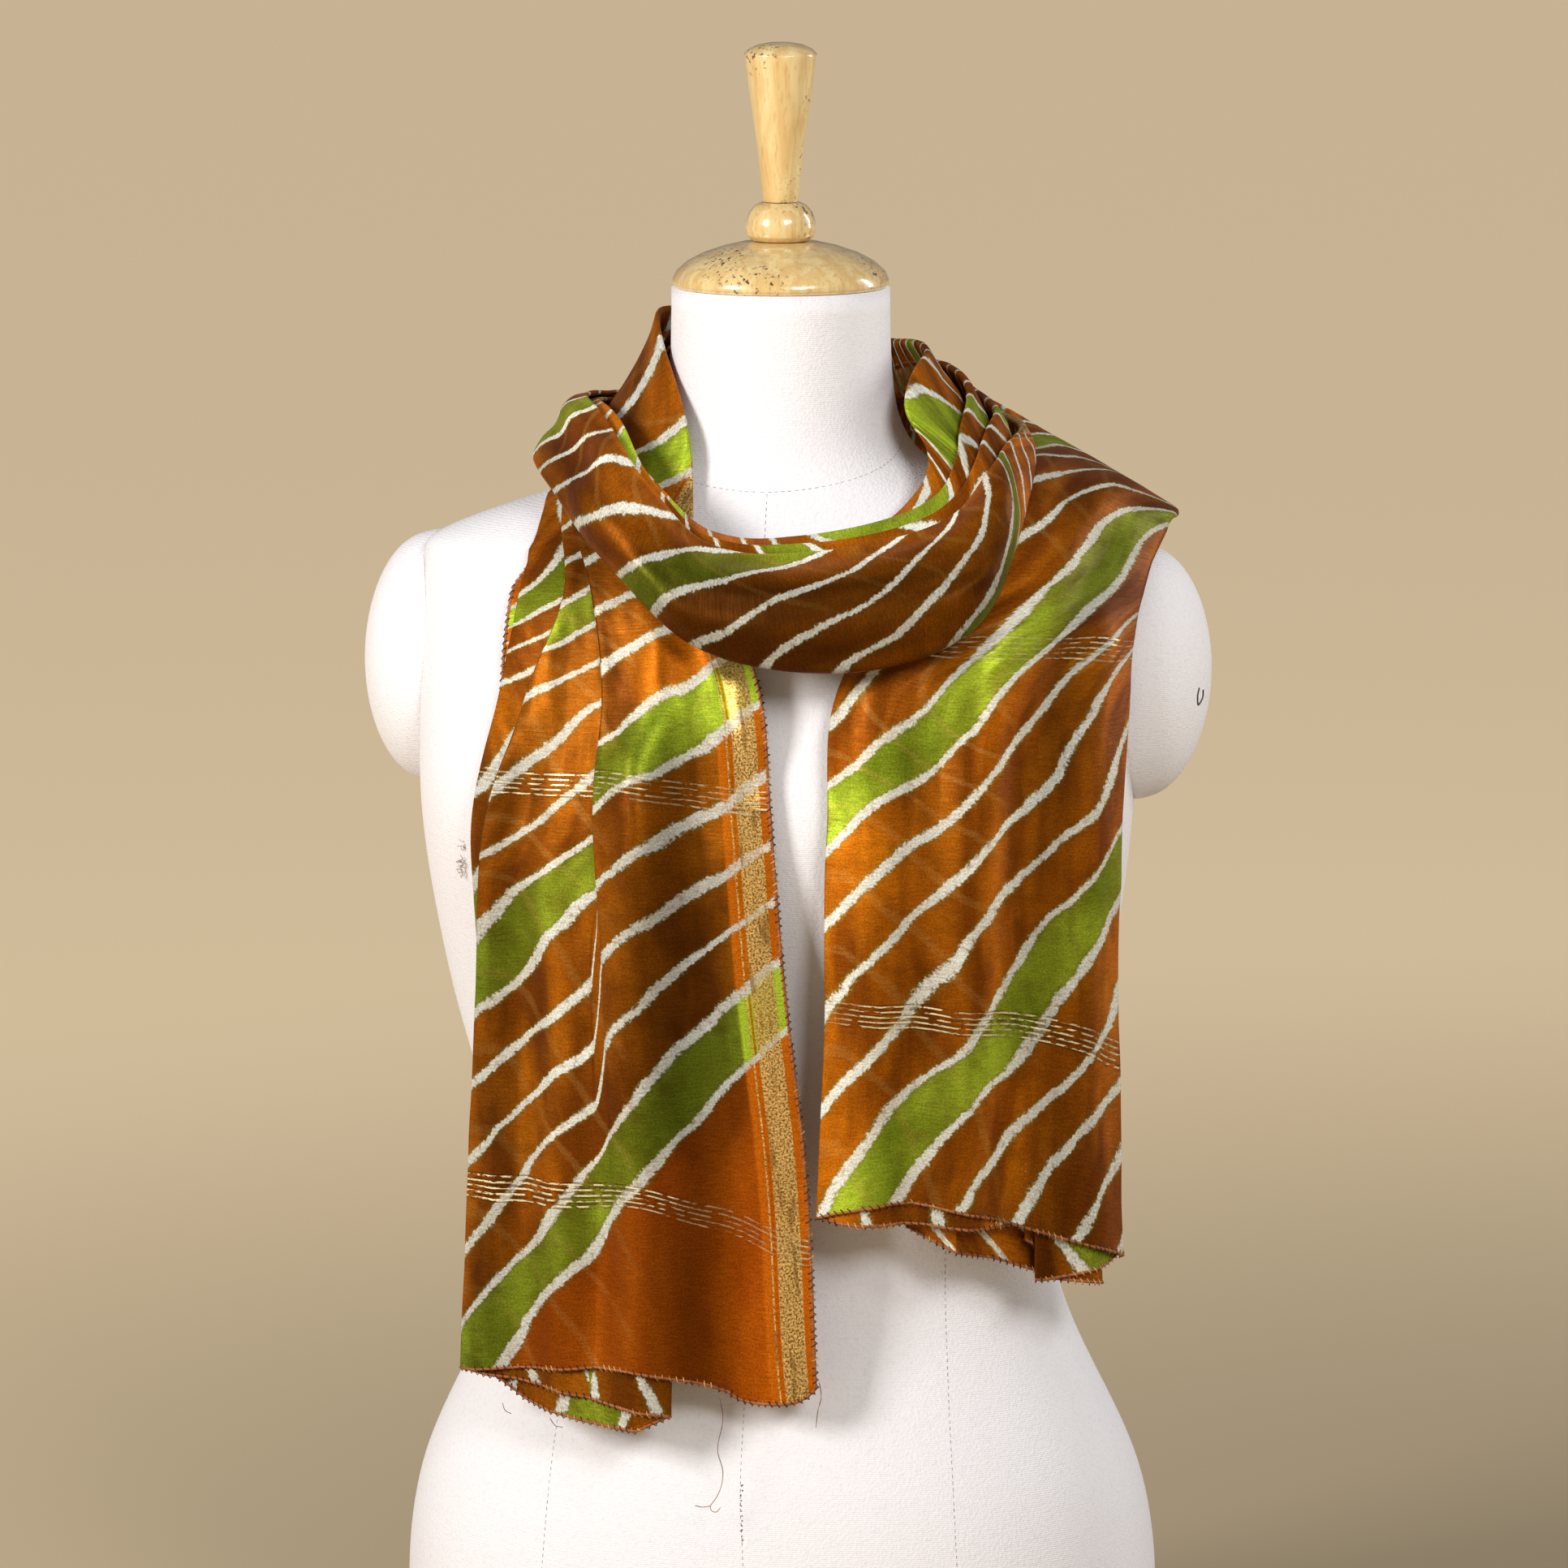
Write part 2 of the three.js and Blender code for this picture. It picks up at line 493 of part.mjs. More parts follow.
const stoleOnForm = new THREE.Group();
stoleOnForm.add(
  piece('form_torso', stackGeometry(torsoRings.map(torsoRing)), formCloth),
  piece('arm_cap_left', armCapGeometry(1), formCloth),
  piece('arm_cap_right', armCapGeometry(-1), formCloth),
  piece('neck_cap', turnedGeometry(neckCapProfile, 36), wood),
  piece('finial_bead', turnedGeometry(beadProfile, 20), wood),
  piece('finial_handle', turnedGeometry(handleProfile, 20), wood),
  piece('stole', stoleGeometry(), dyedSilk),
);

export default stoleOnForm;
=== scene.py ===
import math
from functools import partial

import bpy
import numpy as np
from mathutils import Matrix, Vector
from mathutils.bvhtree import BVHTree


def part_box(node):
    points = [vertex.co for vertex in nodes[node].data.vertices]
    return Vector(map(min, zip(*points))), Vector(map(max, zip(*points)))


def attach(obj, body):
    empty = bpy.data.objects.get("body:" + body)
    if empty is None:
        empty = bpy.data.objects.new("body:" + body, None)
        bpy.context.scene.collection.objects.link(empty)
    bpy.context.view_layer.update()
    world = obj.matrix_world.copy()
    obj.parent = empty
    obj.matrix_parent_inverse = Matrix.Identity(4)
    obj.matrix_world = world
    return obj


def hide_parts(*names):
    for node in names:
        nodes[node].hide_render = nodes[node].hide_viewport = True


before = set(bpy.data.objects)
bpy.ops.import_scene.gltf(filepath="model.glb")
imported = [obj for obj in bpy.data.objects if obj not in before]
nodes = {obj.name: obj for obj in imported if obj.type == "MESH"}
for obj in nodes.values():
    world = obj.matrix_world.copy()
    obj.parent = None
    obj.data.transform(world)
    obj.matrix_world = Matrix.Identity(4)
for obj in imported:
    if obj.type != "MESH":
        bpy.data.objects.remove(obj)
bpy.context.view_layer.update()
mm = 0.001
drapeTurn = math.radians(9)   # from the drape's own front to the form's
bpy.ops.object.select_all(action="DESELECT")
print("frame loaded")


def linearColour(code):
    # sRGB hex to the linear values that sockets hold
    parts = [int(code[i:i + 2], 16) / 255 for i in (1, 3, 5)]
    return [p / 12.92 if p <= 0.04045 else ((p + 0.055) / 1.055) ** 2.4 for p in parts] + [1.0]


def addNode(tree, kind, inputs=(), out=0, **settings):
    # inputs are numbers, colours or other nodes' outputs, in order or by name or number;
    # settings are the node's own, and out is the output to give back
    node = tree.nodes.new("ShaderNode" + kind)
    for key, value in settings.items():
        setattr(node, key, value)
    for key, value in inputs.items() if isinstance(inputs, dict) else enumerate(inputs):
        if isinstance(value, bpy.types.NodeSocket):
            tree.links.new(value, node.inputs[key])
        else:
            node.inputs[key].default_value = value
    return node.outputs[out]


def newMaterial(name, roughness, ior=1.5, specular=0.5):
    material = bpy.data.materials.new(name)
    material.use_nodes = True
    shader = material.node_tree.nodes["Principled BSDF"]
    for socket, value in (("Roughness", roughness), ("IOR", ior), ("Specular IOR Level", specular)):
        shader.inputs[socket].default_value = value
    return material, partial(addNode, material.node_tree), shader


def drive(shader, sockets):
    for name, socket in sockets.items():
        shader.id_data.links.new(socket, shader.inputs[name])


# ---- smooth curves through rows of values
def slopesOf(xs, rows, steady=True):
    # steady ones never swing past the rows; the others run more smoothly through them
    h = np.diff(xs)
    d = np.diff(rows, axis=0) / h[:, None]
    slopes = np.zeros_like(rows)
    slopes[0], slopes[-1] = d[0], d[-1]
    for i in range(1, len(xs) - 1):
        a, b = d[i - 1], d[i]
        if steady:
            w0, w1 = 2 * h[i] + h[i - 1], h[i] + 2 * h[i - 1]
            with np.errstate(divide="ignore", invalid="ignore"):
                slopes[i] = np.where(a * b > 0, (w0 + w1) / (w0 / a + w1 / b), 0)
        else:
            slopes[i] = (h[i] * a + h[i - 1] * b) / (h[i] + h[i - 1])
    return slopes


def hermite(xs, rows, slopes, q):
    q = np.clip(q, xs[0], xs[-1])
    i = np.clip(np.searchsorted(xs, q, side="right") - 1, 0, len(xs) - 2)
    h = xs[i + 1] - xs[i]
    t = ((q - xs[i]) / h)[..., None]
    h = h[..., None]
    return ((2 * t ** 3 - 3 * t ** 2 + 1) * rows[i] + (t ** 3 - 2 * t ** 2 + t) * h * slopes[i]
            + (-2 * t ** 3 + 3 * t ** 2) * rows[i + 1] + (t ** 3 - t ** 2) * h * slopes[i + 1])


# ---- the dress form's own section, to lay cloth and seams on
# z, half width, front y, back y, roundness
torsoRows = np.array([
    [0, 187, -110, 114, 2.3], [80, 188, -114, 118, 2.3], [130, 181, -110, 112, 2.3],
    [172, 163, -101, 100, 2.3], [215, 143, -92, 86, 2.25], [258, 134, -87, 76, 2.2],
    [310, 145, -89, 78, 2.2], [362, 160, -95, 83, 2.3], [415, 170, -107, 88, 2.4],
    [470, 176, -116, 91, 2.6], [510, 177, -107, 92, 2.6], [550, 178, -91, 90, 2.5],
    [580, 179, -79, 84, 2.3], [595, 178, -73, 77, 2.1], [604, 156, -69, 72, 2.0],
    [617, 119, -65, 67, 2.0], [630, 84, -61, 63, 2.0], [642, 65, -57, 60, 2.0],
    [656, 57, -54.5, 57, 2.0], [680, 54, -53.5, 54.5, 2.0], [719.5, 53.5, -53.5, 53.5, 2.0]], float)
torsoSlopes = slopesOf(torsoRows[:, 0], torsoRows[:, 1:])


def toForm(p):
    c, s = math.cos(drapeTurn), math.sin(drapeTurn)
    x, y = p[..., 0], p[..., 1]
    return np.stack([x * c - y * s, x * s + y * c, p[..., 2]], -1)


def distanceToForm(points):
    # rough distance outside the form, for points in the drape's frame
    def value(p):
        row = hermite(torsoRows[:, 0], torsoRows[:, 1:], torsoSlopes, p[..., 2])
        halfWidth, front, back, around = (row[..., k] for k in range(4))
        middle, half = (front + back) / 2, (back - front) / 2
        r = np.abs(p[..., 0] / halfWidth) ** around + np.abs((p[..., 1] - middle) / half) ** around
        r = r ** (1 / around)
        return (r - 1) * np.minimum(halfWidth, half)
    q, e = toForm(points), 0.5
    steps = [np.array(d) * e for d in ((1, 0, 0), (0, 1, 0), (0, 0, 1))]
    slope = np.stack([(value(q + s) - value(q - s)) / (2 * e) for s in steps], -1)
    return value(q) / np.maximum(np.linalg.norm(slope, axis=-1), 0.3)


# ---- the stole's drape
# flat size in m, the rest in mm, in parts of the half width or as counts
stole = dict(
    flatWidth=0.50, flatLength=2.02, thickness=0.45,
    bodyClearance=1.6, selvedgeTurn=5.0, smallestFold=0.9,
    rowsAlong=340, stripCuts=(3, 3, 5, 7, 8, 10, 16, 9), foldCuts=6,
    hemReach=80.0, standing=0.35, probes=57, probeFrom=-1.3, probeTo=1.5,
    probeMargin=0.06, leastRoom=0.5, alpha=0.985)

# outer, middle and inner rail of the outermost surface, and the spacing of the layers
rails = dict(
    hemA=(-156, -84, 199, -72, -117, 201, 17, -128, 194, 1.6),
    a1=(-153, -82, 300, -72, -117, 300, 12, -129, 300, 1.6),
    a2=(-151, -82, 400, -77, -118, 400, 1, -129, 400, 1.6),
    a3=(-153, -82, 475, -80, -117, 475, -5, -128, 475, 1.6),
    a4=(-140, -75, 530, -75, -105, 532, -10, -115, 534, 1.6),
    a5=(-129, -60, 583, -78, -83, 587, -28, -92, 588, 1.6),
    a6=(-124, -29.4, 613, -83.3, -54.6, 618, -37.6, -68, 617.5, 1.7),
    w1=(-121, 4, 631, -81, -22, 645, -47, -45, 661, 2.0),
    w2=(-106, 34, 632, -80, 20, 665, -61, 8, 702, 2.3),
    w3=(-64, 86, 620, -56, 72, 664, -44, 52, 706, 2.4),
    w4=(0, 108, 604, 0, 94, 656, 0, 76, 708, 3.4),
    w5=(82, 82, 612, 82, 66, 660, 72, 54, 706, 4.4),
    r0=(116, 0, 641, 112, 0, 662, 94, 4, 700, 3.8),
    r1=(117, -98, 617, 108, -73, 647, 86, -60, 669, 2.8),
    r2=(92, -146, 571, 88, -124, 605, 73, -98, 632, 2.3),
    l0=(22, -149, 550, 16, -131, 585, 8, -107, 614, 2.1),
    l1=(-44, -128, 561, -42, -114, 589, -36, -90, 616, 2.1),
    l2=(-80, -104, 593, -72, -93, 617, -60, -74, 637, 2.0),
    l3=(-109, -54, 623, -96, -46, 645, -77, -34, 659, 1.9),
    l4=(-122, 6, 636, -110, 10, 655, -89, 8, 668, 1.9),
    l5=(-103, 75, 630, -95, 71, 649, -81, 64, 663, 1.9),
    k0=(0, 132, 606, 0, 122, 636, 0, 108, 662, 2.2),
    k1=(98, 92, 626, 98, 84, 648, 96, 74, 660, 2.2),
    s0=(191, 12, 611, 153, 14, 634, 122, 14, 641, 1.9),
    b0=(190, -24, 605, 144, -56, 624, 102, -52, 627, 1.7),
    b1=(180, -60, 579, 124, -100, 589, 82, -90, 588, 1.6),
    b2=(173, -76, 536, 104, -124, 539, 31, -112, 543, 1.6),
    b3=(169, -90, 470, 98, -136, 470, 22, -131, 470, 1.6),
    b4=(168, -88, 370, 95, -131, 370, 21, -132, 370, 1.6),
    hemB=(170, -90, 256, 95, -128, 284, 17, -129, 282, 1.6))
stations = list(rails)

# where the cloth folds across the ribbon, -1 at the outer rail to 1 at the inner one:
# the hidden selvedge, seven folds, and the selvedge with the gold border
folds = dict(
    hemA=(-.49, .06, -.83, .22, -1.0, -.20, -.10, .50, 1.0),
    a1=(-.56, .08, -.88, .26, -1.0, -.20, -.10, .50, 1.0),
    a2=(-.60, .05, -.97, .24, -.95, -.19, -.09, .50, 1.0),
    a3=(-.70, .00, -1.0, .15, -.85, .02, -.13, .50, 1.0),
    a4=(-1.0, .10, -1.0, .20, -.75, .10, -.17, .50, 1.0),
    a5=(-1.1, .40, -1.0, .50, -.52, .25, -.29, .66, .97),
    a6=(-.6, .40, -.90, .50, -.60, .45, -.50, .90, .80),
    w1=(-.4, .40, -.80, .50, -.60, .56, -.70, 1.0, .30),
    w2=(.0, .50, -.70, .60, -.60, .70, -.70, 1.0, -.20),
    w3=(.0, .60, -.70, .70, -.70, .80, -.80, 1.0, -.20),
    w4=(.0, .80, -.40, .70, -.60, .60, -.80, .60, -.30),
    w5=(.2, .90, -.20, .60, -.50, .36, -.90, .10, -.60),
    r0=(.3, 1.05, .00, .60, -.30, .18, -1.0, -.28, -.65),
    r1=(.5, 1.65, .15, .80, -.20, .40, -1.0, .05, -.50),
    r2=(.3, 1.40, .00, 1.0, -.40, .74, -1.0, .50, -.50),
    l0=(-.2, .70, -.50, .98, -.80, .76, -1.0, .56, -.50),
    l1=(-.2, .70, -.50, .98, -.80, .76, -1.0, .58, -.50),
    l2=(-.4, .60, -.50, .90, -.80, .80, -1.0, .62, -.50),
    l3=(-.4, .60, -.60, .80, -.80, .95, -1.0, .70, -.70),
    l4=(-.4, .60, -.60, .80, -.80, .95, -1.0, .76, -.70),
    l5=(-.4, .60, -.60, .80, -.80, .95, -1.0, .90, -.70),
    k0=(-.2, .60, -.50, .60, -.80, .90, -1.0, 1.0, -.40),
    k1=(-.1, .60, -.55, .30, -.80, .60, -1.0, 1.0, -.60),
    s0=(-.2, .40, -.50, -.10, -.66, .30, -1.0, 1.0, -.60),
    b0=(-.25, .30, -.50, -.15, -.64, .10, -1.0, 1.0, -.45),
    b1=(-.25, .30, -.50, -.18, -.64, -.08, -1.0, 1.0, -.35),
    b2=(-.15, .35, -.55, -.22, -.66, -.22, -1.0, 1.0, -.32),
    b3=(.0, .40, -.60, -.28, -.70, -.32, -1.0, 1.0, -.325),
    b4=(.07, .43, -.70, -.35, -.80, -.40, -1.0, 1.0, -.325),
    hemB=(.07, .43, -.75, -.35, -.85, -.40, -1.0, 1.0, -.325))

# how deep each strip lies behind the outermost surface, in layer spacings
loopDepth = (7.3, 6.3, 5.3, 4.3, 3.3, 2.3, 0, 1)
panelDepth = (6, 5, 4, 3, 2, 1, 0, 0)
depths = dict(
    hemA=(4, 3, 2, 1, 0, 0, 0, 0), a1=(4.6, 3.6, 2.6, 1.6, .5, .25, 0, 0), a2=(6, 5, 4, 3, 2, 1, 0, 0),
    a3=panelDepth, a4=panelDepth, a5=panelDepth, a6=(7.2, 6.2, 5.2, 4.2, 3.2, 2.2, 0, 1))

# how unevenly the hems hang: drop at each fold, and sag between folds
hemSag = dict(
    first=dict(drop=(9, 10, 2, 17, 0, -4, -4.5, 4, -2.5), sag=(0, 3, 13, 1, 1, 0, -2, 6.5), wave=(0,) * 8),
    last=dict(drop=(8, 12, 18, 10, 19, 28, 1, 0, 1), sag=(0, 8, 0, 0, 0, 3, 0, 7),
              wave=(0, 0, 0, 0, 0, 0, -3.2, 0)))


def railCourse():
    rows = np.array([rails[n] for n in stations], float)
    steps = np.linalg.norm(np.diff(rows[:, 3:6], axis=0), axis=1)
    return np.concatenate([[0], np.cumsum(steps)]), rows


courseU, courseRows = railCourse()
stationAt = dict(zip(stations, courseU))
clothLength = courseU[-1]
curves = dict(
    rail=courseRows[:, :9], spacing=courseRows[:, 9:],
    fold=np.array([folds[n] for n in stations], float),
    depth=np.array([depths.get(n, loopDepth) for n in stations], float))
curves = {key: (rows, slopesOf(courseU, rows, steady=key != "rail")) for key, rows in curves.items()}


def along(key, u):
    return hermite(courseU, *curves[key], np.clip(u, 0, clothLength))


def outermost(rail, c):
    # a parabola across the three rails
    c = c[..., None]
    return (rail[..., 0:3] * (c * (c - 1) / 2) + rail[..., 3:6] * (1 - c * c)
            + rail[..., 6:9] * (c * (c + 1) / 2))


def sectionCuts():
    cuts = []
    edges = len(folds["hemA"])
    for k in range(edges):
        if k in (0, edges - 1):
            cuts.append(("edge", k, 0.0))
        else:
            cuts += [("fold", k, t) for t in np.linspace(-1, 1, stole["foldCuts"])]
        if k < edges - 1:
            cuts += [("strip", k, t) for t in np.linspace(0, 1, stole["stripCuts"][k] + 2)[1:-1]]
    return cuts


def pressTogether(rail, spacing, fold, depth):
    # how far the layers are pressed together where the form is close behind, at probes across the cloth
    shape = len(fold), stole["probes"]
    look = np.linspace(stole["probeFrom"], stole["probeTo"], stole["probes"])
    room = distanceToForm(outermost(rail[:, None], np.broadcast_to(look, shape))) - stole["bodyClearance"]
    deepest = np.full(shape, stole["leastRoom"])
    for k in range(fold.shape[1] - 1):
        low = np.minimum(fold[:, k], fold[:, k + 1])[:, None] - stole["probeMargin"]
        high = np.maximum(fold[:, k], fold[:, k + 1])[:, None] + stole["probeMargin"]
        inside = (look >= low) & (look <= high)
        deepest = np.where(inside, np.maximum(deepest, (depth[:, k] * spacing)[:, None]), deepest)
    press = np.minimum(1, np.maximum(room, stole["leastRoom"]) / deepest)
    eased = press.copy()
    eased[:, 1:] = np.minimum(eased[:, 1:], press[:, :-1])
    eased[:, :-1] = np.minimum(eased[:, :-1], press[:, 1:])
    for _ in range(2):
        eased[:, 1:-1] = (eased[:, :-2] + eased[:, 1:-1] + eased[:, 2:]) / 3
    return look, eased


def drapeGrid():
    cuts = sectionCuts()
    us = np.linspace(0, clothLength, stole["rowsAlong"])
    rail, spacing, fold, depth = (along(key, us) for key in ("rail", "spacing", "fold", "depth"))
    spacing = spacing[:, 0]
    half = np.linalg.norm(rail[:, 6:9] - rail[:, 0:3], axis=1) / 2
    edges = fold.shape[1]
    strips = edges - 1
    rows = len(us)
    radius, turnIn, turnOut = (np.zeros((rows, edges)) for _ in range(3))
    for k in range(1, edges - 1):
        radius[:, k] = np.maximum(np.abs(depth[:, k] - depth[:, k - 1]) * spacing / 2, stole["smallestFold"])
        turnIn[:, k] = np.clip((fold[:, k] - fold[:, k - 1]) * half / (2 * radius[:, k]), -1, 1)
        turnOut[:, k] = np.clip((fold[:, k + 1] - fold[:, k]) * half / (2 * radius[:, k]), -1, 1)
    start, end = depth.copy(), depth.copy()
    for k in range(1, strips - 1):   # a strip that narrows to nothing stands up between its neighbours
        narrow = 1 - np.clip(np.abs(fold[:, k + 1] - fold[:, k]) * half / (2 * radius[:, k]), 0, 1)
        same = (depth[:, k] - depth[:, k - 1]) * (depth[:, k + 1] - depth[:, k]) > 0
        start[:, k] -= np.where(same, narrow * stole["standing"] * (depth[:, k] - depth[:, k - 1]), 0)
        end[:, k] += np.where(same, narrow * stole["standing"] * (depth[:, k + 1] - depth[:, k]), 0)
    edgeWidth = (fold[:, -1] - fold[:, -2]) * half
    end[:, -1] = start[:, -1] + np.sqrt(np.maximum(stole["selvedgeTurn"] ** 2 - edgeWidth ** 2, 0)) / spacing

    across, deep = np.zeros((rows, len(cuts))), np.zeros((rows, len(cuts)))
    for j, (kind, k, t) in enumerate(cuts):
        if kind == "edge":
            across[:, j] = fold[:, k]
            deep[:, j] = (start[:, 0] if k == 0 else end[:, -1]) * spacing
        elif kind == "fold":
            a = t * math.pi / 2
            m = (1 + turnIn[:, k] * turnOut[:, k]) / 2
            reach = (1 - m) * (1 - math.cos(a)) + m * abs(math.sin(a))
            turn = -turnIn[:, k] if t < 0 else turnOut[:, k]
            across[:, j] = fold[:, k] + turn * radius[:, k] / half * reach
            low, high = end[:, k - 1], start[:, k]
            deep[:, j] = ((low + high) / 2 + (high - low) / 2 * math.sin(a)) * spacing
        else:
            c0 = fold[:, k] + (turnOut[:, k] * radius[:, k] / half if k > 0 else 0)
            c1 = fold[:, k + 1] - (turnIn[:, k + 1] * radius[:, k + 1] / half if k < strips - 1 else 0)
            across[:, j] = c0 + (c1 - c0) * t
            deep[:, j] = (start[:, k] + (end[:, k] - start[:, k]) * t) * spacing

    surface = outermost(rail[:, None], across)
    nearby = 0.02
    sideways = outermost(rail[:, None], across + nearby) - outermost(rail[:, None], across - nearby)
    ahead, behind = along("rail", us + 1), along("rail", us - 1)
    onward = outermost(ahead[:, None], across) - outermost(behind[:, None], across)
    onward /= np.linalg.norm(onward, axis=-1, keepdims=True)
    outward = np.cross(sideways, onward)
    outward /= np.linalg.norm(outward, axis=-1, keepdims=True)

    look, press = pressTogether(rail, spacing, fold, depth)
    pressed = np.stack([np.interp(across[i], look, press[i]) for i in range(rows)])
    points = surface - outward * (deep * pressed)[..., None]
    for hem, sign, far in ((hemSag["first"], -1, us), (hemSag["last"], 1, clothLength - us)):
        fade = np.clip(1 - far / stole["hemReach"], 0, 1) ** 2
        for j, (kind, k, t) in enumerate(cuts):
            drop = hem["drop"][k]
            if kind == "strip":
                drop = drop * (1 - t) + hem["drop"][k + 1] * t + hem["sag"][k] * (1 - (2 * t - 1) ** 4)
                drop += hem["wave"][k] * math.sin(2 * math.pi * (t - 0.5))
            points[:, j] += sign * onward[:, j] * (drop * fade)[:, None]
    widths = np.linalg.norm(np.diff(points, axis=1), axis=2)
    fromGold = np.cumsum(widths[:, ::-1], axis=1)[:, ::-1]
    fromGold = np.concatenate([fromGold, np.zeros((rows, 1))], 1)
    strip = np.array([k if kind == "strip" else (k - 0.5 if kind == "fold" else -1) for kind, k, t in cuts])
    return dict(points=points, outward=outward, us=us, across=across, fromGold=fromGold, strip=strip,
                cuts=cuts, half=half)


# ---- soft creases, fine wrinkles, and rows of painted shade and light
def softNoise(x, y, seed):
    # smooth noise on a 64 x 64 lattice, from -1 to 1
    lattice = np.random.default_rng(seed).uniform(-1, 1, (64, 64))
    xi, yi = np.floor(x).astype(int), np.floor(y).astype(int)
    fx, fy = x - xi, y - yi
    fx, fy = fx * fx * (3 - 2 * fx), fy * fy * (3 - 2 * fy)
    corners = [lattice[(xi + i) % 64, (yi + j) % 64] for i, j in ((0, 0), (1, 0), (0, 1), (1, 1))]
    return ((corners[0] * (1 - fx) + corners[1] * fx) * (1 - fy)
            + (corners[2] * (1 - fx) + corners[3] * fx) * fy)


# station from, station to, across at each, half width in mm, height in mm (negative is a trough)
creases = [
    ("hemA", "a4", -.85, -.88, 9, 5.4), ("hemA", "a4", -.62, -.68, 16, -4.2),
    ("hemA", "a3", -.40, -.46, 13, 6.6), ("hemA", "a2", -.18, -.14, 9, -2.4),
    ("hemA", "a4", .02, .16, 18, 9.6), ("hemA", "a4", .58, .40, 17, -9.0),
    ("hemA", "a4", 1.02, 1.02, 14, -6.0), ("a2", "a5", .20, .30, 13, 4.5), ("a3", "a6", .66, .80, 9, 3.0),
    ("a3", "a6", -.60, -.70, 8, 2.7), ("s0", "b3", .72, .70, 15, 4.2), ("b1", "hemB", .70, .66, 15, 6.0),
    ("b2", "hemB", .40, .43, 13, -6.6), ("b1", "hemB", .08, .12, 17, 7.8),
    ("b2", "hemB", -.24, -.22, 12, -6.4), ("b0", "hemB", -.46, -.52, 12, -3.6),
    ("b1", "hemB", -.70, -.74, 12, 5.4), ("s0", "b2", -.30, -.20, 10, 3.0),
    ("b0", "hemB", -1.1, -1.1, 30, -5.0), ("r1", "l3", -.12, -.18, 27, 14.0),
    ("r1", "l3", -1.05, -1.05, 9, -4.5), ("r1", "l4", .92, .86, 6, 4.0), ("r1", "l1", .46, .40, 8, -3.0),
    ("r1", "l2", -.60, -.62, 7, 2.4), ("l2", "k0", .30, .35, 9, 3.6), ("l2", "l5", -.10, -.15, 8, -3.0),
    ("w5", "r1", -.78, -.86, 6, 2.4), ("w5", "r1", -.46, -.50, 6, 2.6), ("w5", "r1", -.12, -.14, 6, 2.6),
    ("w5", "r1", .22, .26, 6, 2.4), ("w5", "r1", .54, .62, 6, 2.4)]

# painted shade where folds and the loop's underside turn from the light, in the same terms, and painted light
# where the last value is negative
paintedShadingRows = [
    ("hemA", "a4", .35, .48, 27, .95), ("a1", "a3", .40, .48, 34, .6),
    ("hemA", "a1", -.60, -.30, 34, .45), ("hemA", "a4", -.86, -.80, 15, .7),
    ("a3", "a6", -.45, -.30, 16, .5), ("r1", "l2", -.80, -.80, 46, 1.15),
    ("l1", "l4", -.85, -.85, 30, .8), ("r2", "l4", -.30, -.30, 22, .4), ("r1", "l5", .52, .48, 17, -1.1),
    ("l1", "k0", .15, .15, 34, -.95), ("k0", "s0", .1, .1, 60, -.8), ("b2", "hemB", .34, .30, 14, .5),
    ("b0", "hemB", -.42, -.46, 15, .6), ("b0", "hemB", -.04, -.16, 15, -.6),
    ("s0", "b2", -.95, -.95, 24, .7), ("b0", "b2", .45, .45, 22, -.6), ("b1", "hemB", .92, .92, 14, -.45)]
# mm over which each fades at its ends, and how far and how often it sways
spread = dict(fade=40, sway=0.04, swayLength=31)


def spreadOver(grid, rows):
    # adds up soft ridges that run along the cloth, one for each row
    us, across, half = grid["us"], grid["across"], grid["half"]
    height = np.zeros_like(across)
    for start, stop, c0, c1, reach, tall in rows:
        u0, u1 = stationAt[start], stationAt[stop]
        t = np.clip((us - u0) / (u1 - u0), 0, 1)
        hold = np.ones_like(us)
        if start != "hemA":
            hold *= np.clip((us - u0) / spread["fade"], 0, 1)
        if stop != "hemB":
            hold *= np.clip((u1 - us) / spread["fade"], 0, 1)
        hold = hold * hold * (3 - 2 * hold)
        c = c0 + (c1 - c0) * t + spread["sway"] * np.sin(us / spread["swayLength"] + 9 * c0)
        away = (across - c[:, None]) * half[:, None] / reach
        height += tall * np.exp(-away ** 2) * hold[:, None]
    return height


grid = drapeGrid()
mapWidth = math.ceil(grid["fromGold"].max() / 10) * 10   # the cloth's own map, in whole centimetres
mapLength = math.ceil(clothLength / 10) * 10
print("drape worked out:", grid["points"].shape)


